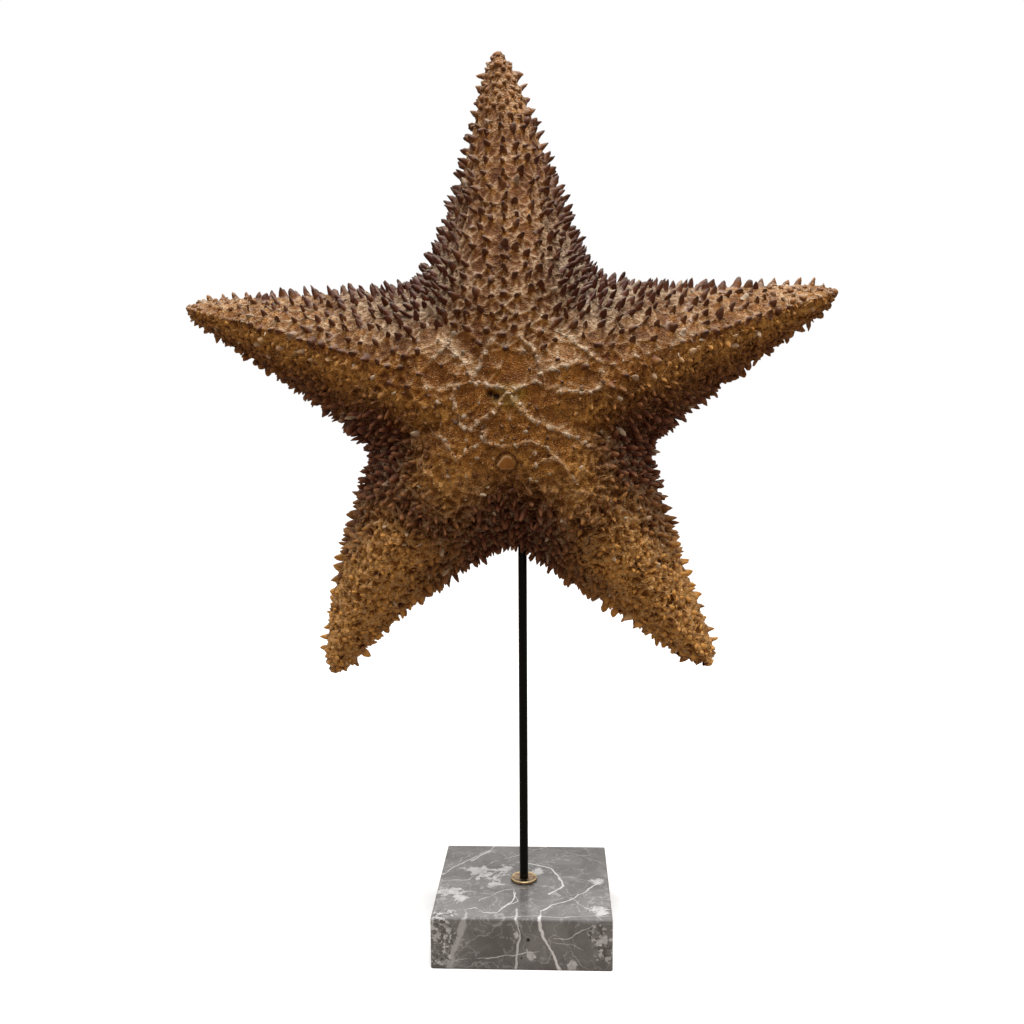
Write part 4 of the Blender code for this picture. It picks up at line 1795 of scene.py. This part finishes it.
SIDE_VEINS = (
    (0.6, 0.7, ((-50, 20), (-20, 16), (8, 12), (30, 20), (50, 24))),
    (0.9, 0.7, ((-30, 26), (-8, 14), (22, 10), (50, 18))),
    (0.5, 0.6, ((-44, 4), (-12, 22), (10, 29))),
)
FACES = (
    ((1, 1, 0.2), lambda across, along: (across, along, 29), TOP_VEINS),
    ((1, 0.2, 1), lambda across, up: (across, -50, up), FRONT_VEINS),
    ((1, 0.2, 1), lambda across, up: (across, 50, up), SIDE_VEINS),
    ((0.2, 1, 1), lambda along, up: (-50, along, up), SIDE_VEINS),
    ((0.2, 1, 1), lambda along, up: (50, -along, up), SIDE_VEINS),
)
PATCHES = (
    (11, (-18, 5, 29)), (9, (-28, 13, 29)), (7, (-11, 17, 29)), (9, (-44, -17, 29)),
    (8, (-36, -24, 29)), (6, (-18, -7, 29)), (6, (8, 13, 29)), (6, (44, -1, 29)), (8, (43, -39, 29)),
    (3, (28, -50, 3)), (3, (6, -50, 8)), (5, (-4, -50, 21)), (5, (45, -50, 17)),
)
BROKEN = (
    (12, (-45, -50, 20)), (10, (-45, -50, 7)), (9, (-45, -46, 29)), (9, (46, -50, 10)),
    (8, (41, -50, 22)), (14, (50, 30, 12)), (12, (-20, 50, 14)),
)
SCARS = ((1.5, (4, -50, 17.6)), (1.1, (0.7, -50, 6.8)))
GREY_DARK = (0.105, 0.099, 0.096, 1)
GREY_LIGHT = (0.190, 0.183, 0.181, 1)
VEIN_WHITE = (0.62, 0.61, 0.60, 1)
CHIP_DARK = (0.060, 0.054, 0.052, 1)
SCAR_DARK = (0.015, 0.014, 0.014, 1)
VEIN_HALF = 0.75 * MM


def stretch_group():
    """How far a point is from the straight stretch between two others."""
    inputs = [("Point", VECTOR), ("Start", VECTOR), ("End", VECTOR)]
    tree, into, out = new_group("vein_stretch", inputs, [("Distance", VALUE)])
    away = vector_math(tree, "SUBTRACT", into.outputs["Point"], into.outputs["Start"])
    run = vector_math(tree, "SUBTRACT", into.outputs["End"], into.outputs["Start"])
    onto_run = vector_math(tree, "DOT_PRODUCT", away, run)
    along = compute(tree, "DIVIDE", onto_run, vector_math(tree, "DOT_PRODUCT", run, run))
    held = compute(tree, "MINIMUM", compute(tree, "MAXIMUM", along, 0.0), 1.0)
    feed(tree, out.inputs[0], vector_math(tree, "DISTANCE", away, scaled(tree, run, held)))
    return tree


def wandering(tree, place, scale, amount, detail):
    """A place pushed about by noise."""
    warp = noise(tree, place, scale, detail=detail, roughness=0.55)
    return vector_math(tree, "ADD", place, scaled(tree, centred_noise(tree, warp), amount))


def zero_line(tree, value, half):
    """A thin line where a noise passes its middle value."""
    return between(tree, compute(tree, "ABSOLUTE", compute(tree, "SUBTRACT", value, 0.5)), half, half * 0.15)


def greatest(tree, masks):
    """The greatest of several masks."""
    mask = masks[0]
    for other in masks[1:]:
        mask = compute(tree, "MAXIMUM", mask, other)
    return mask


def placed_veins(tree, place, swell):
    """The mask of the large veins. Each swells and thins along its way, and goes in steeply from its face."""
    stretch = stretch_group()
    masks = []
    for squeeze, on_face, veins in FACES:
        squeezed = vector_math(tree, "MULTIPLY", place, squeeze)
        for width, strength, line in veins:
            corners = [tuple(v * s * MM for v, s in zip(on_face(*point), squeeze)) for point in line]
            distance = None
            for start, end in zip(corners, corners[1:]):
                inputs = {"Point": squeezed, "Start": start, "End": end}
                following = use_group(tree, stretch, inputs).outputs[0]
                distance = following if distance is None else compute(tree, "MINIMUM", distance, following)
            half = width * VEIN_HALF
            thinned = compute(tree, "DIVIDE", distance, swell)
            masks.append(between(tree, thinned, half, 0.45 * half, 0.0, strength))
    return greatest(tree, masks)


def placed_patches(tree, place, spots, cloud, spread):
    """The mask of clouds with torn edges, round some spots."""
    masks = []
    for radius, middle in spots:
        distance = vector_math(tree, "DISTANCE", place, tuple(v * MM for v in middle))
        inner = compute(tree, "SUBTRACT", 1.0, compute(tree, "DIVIDE", distance, radius * MM))
        torn = times(tree, compute(tree, "SUBTRACT", cloud, 0.5), spread)
        masks.append(compute(tree, "ADD", inner, torn))
    return between(tree, greatest(tree, masks), 0.30, 0.46)


def marble_material():
    material, tree, shader = new_material("veined_marble")
    place = object_coordinates(tree)
    torn = wandering(tree, wandering(tree, place, 60.0, 0.006, 2.0), 300.0, 0.0016, 3.0)
    stirred = wandering(tree, place, 22.0, 0.045, 6.0)
    cloud = noise(tree, stirred, 38.0, detail=9.0, roughness=0.68).outputs[0]
    streaks = noise(tree, stirred, 120.0, detail=6.0, roughness=0.7).outputs[0]
    ground = mix_colour(tree, between(tree, cloud, 0.33, 0.68), GREY_DARK, GREY_LIGHT)
    ground = mix_colour(tree, between(tree, streaks, 0.58, 0.70, 0.0, 0.22), ground, VEIN_WHITE)
    swell = between(tree, noise(tree, place, 130.0, detail=3.0).outputs[0], 0.30, 0.70, 0.6, 1.5)
    large = placed_veins(tree, torn, swell)
    speckle = noise(tree, torn, 260.0, detail=4.0, roughness=0.6).outputs[0]
    mottled = between(tree, speckle, 0.30, 0.62, 0.35, 0.72)
    patches = times(tree, placed_patches(tree, torn, PATCHES, streaks, 3.4), mottled)
    hair = zero_line(tree, noise(tree, stirred, 30.0, detail=3.0).outputs[0], 0.010)
    fainter = zero_line(tree, noise(tree, torn, 75.0, detail=3.0).outputs[0], 0.015)
    veins = greatest(tree, [large, patches, times(tree, hair, 0.26), times(tree, fainter, 0.16)])
    base = mix_colour(tree, veins, ground, VEIN_WHITE)
    chips = cells(tree, wandering(tree, place, 400.0, 0.003, 2.0), 640.0)
    chip = red_of(tree, chips.outputs["Color"])
    broken = placed_patches(tree, torn, BROKEN, cloud, 2.0)
    rubble = mix_colour(tree, between(tree, chip, 0.15, 0.55), CHIP_DARK, GREY_LIGHT)
    rubble = mix_colour(tree, between(tree, chip, 0.55, 0.90), rubble, VEIN_WHITE)
    base = mix_colour(tree, times(tree, broken, 0.62), base, rubble)
    scars = placed_patches(tree, torn, SCARS, streaks, 3.0)
    base = mix_colour(tree, scars, base, SCAR_DARK)
    coat(tree, shader, base, between(tree, cloud, 0.3, 0.7, 0.12, 0.22))
    bump(tree, shader, veins, 0.08, 0.0002)
    return material


def dress_node(name, material):
    node = frame["nodes"][name]
    for slot in node.material_slots:
        slot.material = material
    return node


dress_node("base", marble_material())

# %% [markdown]
# ## Rod and collar
#
# The rod is round steel in glossy black lacquer. The collar is a turned brass washer with a raised lip,
# worn dull on its flat. Both are lathe shapes, so each is one outline spun round the upright through the
# block's hole, with enough sides to look round up close.

# %% Turned parts
LATHE_SIDES = 64
SHARP_FROM = math.radians(40)
BASE_TOP = 0.029
ROD_FOOT = BASE_TOP - 0.020
ROD_TOP = STAR_CENTRE.z + pit_after(LOWER_LEFT).z + ROD_BURIED
ROD_ARRIS = 0.4 * MM
COLLAR_RADIUS = 7.8 * MM
COLLAR_HEIGHT = 2.1 * MM
COLLAR_FLAT = 1.5 * MM
COLLAR_BORE_GAP = 0.05 * MM
COLLAR_GAP = 0.08 * MM
LACQUER = (0.0030, 0.0026, 0.0026, 1)
LACQUER_DUST = (0.045, 0.040, 0.036, 1)
LACQUER_SHINE = 0.10
BRASS_BRIGHT = (0.66, 0.50, 0.27, 1)
BRASS_DULL = (0.42, 0.31, 0.19, 1)
BRASS_TARNISH = (0.20, 0.125, 0.085, 1)
BRASS_SHADE = (0.05, 0.034, 0.018, 1)


def turned_piece(name, outline, material, node):
    """Spins an outline of (radius, height) pairs, which starts and ends on the axis or where it began."""
    mesh = bmesh.new()
    rings = []
    for radius, height in outline:
        ring = []
        for side in range(LATHE_SIDES):
            angle = side * FULL_TURN / LATHE_SIDES
            ring.append(mesh.verts.new((radius * math.cos(angle), radius * math.sin(angle), height)))
        rings.append(ring)
    join_rings(mesh, rings)
    bmesh.ops.remove_doubles(mesh, verts=mesh.verts, dist=0.01 * MM)
    bmesh.ops.recalc_face_normals(mesh, faces=mesh.faces)
    made = object_from(mesh, name)
    made.data.materials.append(material)
    made.data.shade_smooth()
    made.data.set_sharp_from_angle(angle=SHARP_FROM)
    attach(made, "root")
    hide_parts(node)
    print(name, len(made.data.polygons), "faces")
    return made


def lacquer_material():
    material, tree, shader = new_material("black_lacquer")
    place = object_coordinates(tree)
    handled = noise(tree, place, 90.0, detail=5.0, roughness=0.6).outputs[0]
    specks = between(tree, cells(tree, place, 900.0).outputs["Distance"], 0.10, 0.04)
    dusted_specks = times(tree, specks, between(tree, handled, 0.5, 0.7, 0.0, 0.5))
    colour = mix_colour(tree, dusted_specks, LACQUER, LACQUER_DUST)
    coat(tree, shader, colour, between(tree, handled, 0.3, 0.7, 0.14, 0.30))
    shader.inputs["Specular IOR Level"].default_value = LACQUER_SHINE
    return material


def brass_material():
    """Bright on the lip, a painted highlight; tarnished brown on the flat; darkened by painted shade towards
    the gap under it, by the block.
    """
    material, tree, shader = new_material("worn_brass")
    place = object_coordinates(tree)
    height = add_node(tree, "ShaderNodeSeparateXYZ", {0: place}).outputs["Z"]
    # Painted highlight: the lip at the top of the collar is painted bright.
    painted_lip_highlight = between(tree, height, BASE_TOP + COLLAR_FLAT, BASE_TOP + COLLAR_HEIGHT)
    stained = between(tree, noise(tree, place, 480.0, detail=5.0, roughness=0.65).outputs[0], 0.38, 0.62)
    flat = mix_colour(tree, stained, BRASS_TARNISH, BRASS_DULL)
    base = mix_colour(tree, painted_lip_highlight, flat, BRASS_BRIGHT)
    # Painted shade: the collar darkens towards the block.
    shaded = between(tree, height, BASE_TOP, BASE_TOP + 0.5 * COLLAR_HEIGHT)
    base = mix_colour(tree, shaded, BRASS_SHADE, base)
    coat(tree, shader, base, between(tree, stained, 0.0, 1.0, 0.42, 0.26))
    shader.inputs["Metallic"].default_value = 1.0
    bump(tree, shader, stained, 0.1, 0.0001)
    return material


def rod_outline():
    straight = ROD_RADIUS - ROD_ARRIS
    low, high = ROD_FOOT, ROD_TOP
    return (
        (0, low),
        (straight, low),
        (ROD_RADIUS, low + ROD_ARRIS),
        (ROD_RADIUS, high - ROD_ARRIS),
        (straight, high),
        (0, high),
    )


def collar_outline():
    """From the bore's foot up, over the flat and the lip, down the side and back along the underside."""
    inner = ROD_RADIUS + COLLAR_BORE_GAP
    steps = (
        (inner, COLLAR_GAP),
        (inner, COLLAR_FLAT - 0.1 * MM),
        (inner + 0.25 * MM, COLLAR_FLAT + 0.05 * MM),
        (inner + 0.5 * MM, COLLAR_FLAT),
        (COLLAR_RADIUS - 1.5 * MM, COLLAR_FLAT),
        (COLLAR_RADIUS - 1.1 * MM, COLLAR_FLAT + 0.15 * MM),
        (COLLAR_RADIUS - 0.8 * MM, COLLAR_HEIGHT - 0.1 * MM),
        (COLLAR_RADIUS - 0.5 * MM, COLLAR_HEIGHT),
        (COLLAR_RADIUS - 0.2 * MM, COLLAR_HEIGHT - 0.12 * MM),
        (COLLAR_RADIUS, COLLAR_HEIGHT - 0.45 * MM),
        (COLLAR_RADIUS, 0.6 * MM),
        (COLLAR_RADIUS - 0.35 * MM, 0.25 * MM),
        (COLLAR_RADIUS - 1.0 * MM, COLLAR_GAP),
        (inner, COLLAR_GAP),
    )
    return tuple((radius, BASE_TOP + height) for radius, height in steps)


turned_piece("rod_detail", rod_outline(), lacquer_material(), "rod")
turned_piece("collar_detail", collar_outline(), brass_material(), "collar")

# %% [markdown]
# ## Light, floor and camera
#
# The star was shot in a white studio under one large soft light above it, so what faces up is bright and
# what faces down falls into brown. The camera stands as the photographer's did. The floor and the far wall
# are pure white to the camera, but send only a little of that light back, as if they were far away.

# %% Studio
FLOOR_SIDE = 12.0
FLOOR_ROUGHNESS = 0.9
CAMERA_AT = Vector((0.0195, -0.6144, 0.3059))
CAMERA_YAW = math.radians(-2.367)
CAMERA_PITCH = math.radians(-5.355)
CAMERA_ROLL = math.radians(-0.321)
CAMERA_LENS = 37.79
CAMERA_SENSOR = 36
CAMERA_NEAREST = 0.01
LIGHT_AT = (0.12, -0.30, 1.45)
LIGHT_AIM = (0, -0.02, 0.3)
LIGHT_SIZE = (0.8, 0.5)
LIGHT_WATTS = 17
FLOOR_SEEN = (1.0, 1.0, 1.0, 1)
FLOOR_SENT = (0.26, 0.21, 0.165, 1)
SKY_TOP = (1.0, 0.99, 0.98, 1)
SKY_SIDE = (1.0, 0.87, 0.74, 1)
SKY_BRIGHT = 1.3
SKY_DIM = 0.34


def add_camera():
    level = Vector((math.cos(CAMERA_YAW), -math.sin(CAMERA_YAW), 0))
    onward = Vector((math.sin(CAMERA_YAW), math.cos(CAMERA_YAW), 0))
    ahead = onward * math.cos(CAMERA_PITCH) + Vector((0, 0, math.sin(CAMERA_PITCH)))
    upright = level.cross(ahead)
    right = level * math.cos(CAMERA_ROLL) + upright * math.sin(CAMERA_ROLL)
    up = upright * math.cos(CAMERA_ROLL) - level * math.sin(CAMERA_ROLL)
    camera = linked("camera", bpy.data.cameras.new("camera"))
    camera.data.lens = CAMERA_LENS
    camera.data.sensor_width = CAMERA_SENSOR
    camera.data.clip_start = CAMERA_NEAREST
    camera.matrix_world = Matrix((right, up, -ahead)).transposed().to_4x4()
    camera.location = CAMERA_AT
    bpy.context.scene.camera = camera


def add_light(name, place, aim, size, watts):
    lamp = bpy.data.lights.new(name, "AREA")
    lamp.shape = "RECTANGLE"
    lamp.size, lamp.size_y = size
    lamp.energy = watts
    made = linked(name, lamp)
    made.location = place
    made.rotation_euler = (Vector(aim) - Vector(place)).to_track_quat("-Z", "Y").to_euler()


def add_floor():
    mesh = bmesh.new()
    bmesh.ops.create_grid(mesh, x_segments=1, y_segments=1, size=FLOOR_SIDE / 2)
    floor = object_from(mesh, "floor")
    material, tree, shader = new_material("pale_floor")
    seen = add_node(tree, "ShaderNodeLightPath").outputs["Is Camera Ray"]
    coat(tree, shader, mix_colour(tree, seen, FLOOR_SENT, FLOOR_SEEN), FLOOR_ROUGHNESS)
    floor.data.materials.append(material)


def set_world():
    """A white wall to the camera, and a soft light that is bright above and dim near the horizon."""
    world = bpy.data.worlds.new("studio")
    world.use_nodes = True
    tree = world.node_tree
    sky = tree.nodes["Background"]
    wall = add_node(tree, "ShaderNodeBackground", {"Color": (1, 1, 1, 1), "Strength": 1.0})
    height = add_node(tree, "ShaderNodeSeparateXYZ", {0: add_node(tree, "ShaderNodeTexCoord").outputs[0]})
    strength = between(tree, height.outputs["Z"], 0.05, 0.75, SKY_DIM, SKY_BRIGHT)
    overhead = between(tree, height.outputs["Z"], 0.0, 0.6)
    feed(tree, sky.inputs["Color"], mix_colour(tree, overhead, SKY_SIDE, SKY_TOP))
    feed(tree, sky.inputs["Strength"], strength)
    seen = add_node(tree, "ShaderNodeLightPath").outputs["Is Camera Ray"]
    either = add_node(tree, "ShaderNodeMixShader", {0: seen, 1: sky.outputs[0], 2: wall.outputs[0]})
    feed(tree, tree.nodes["World Output"].inputs["Surface"], either.outputs[0])
    bpy.context.scene.world = world


add_camera()
add_floor()
set_world()
add_light("overhead", LIGHT_AT, LIGHT_AIM, LIGHT_SIZE, LIGHT_WATTS)
bpy.context.scene.view_settings.view_transform = "Standard"
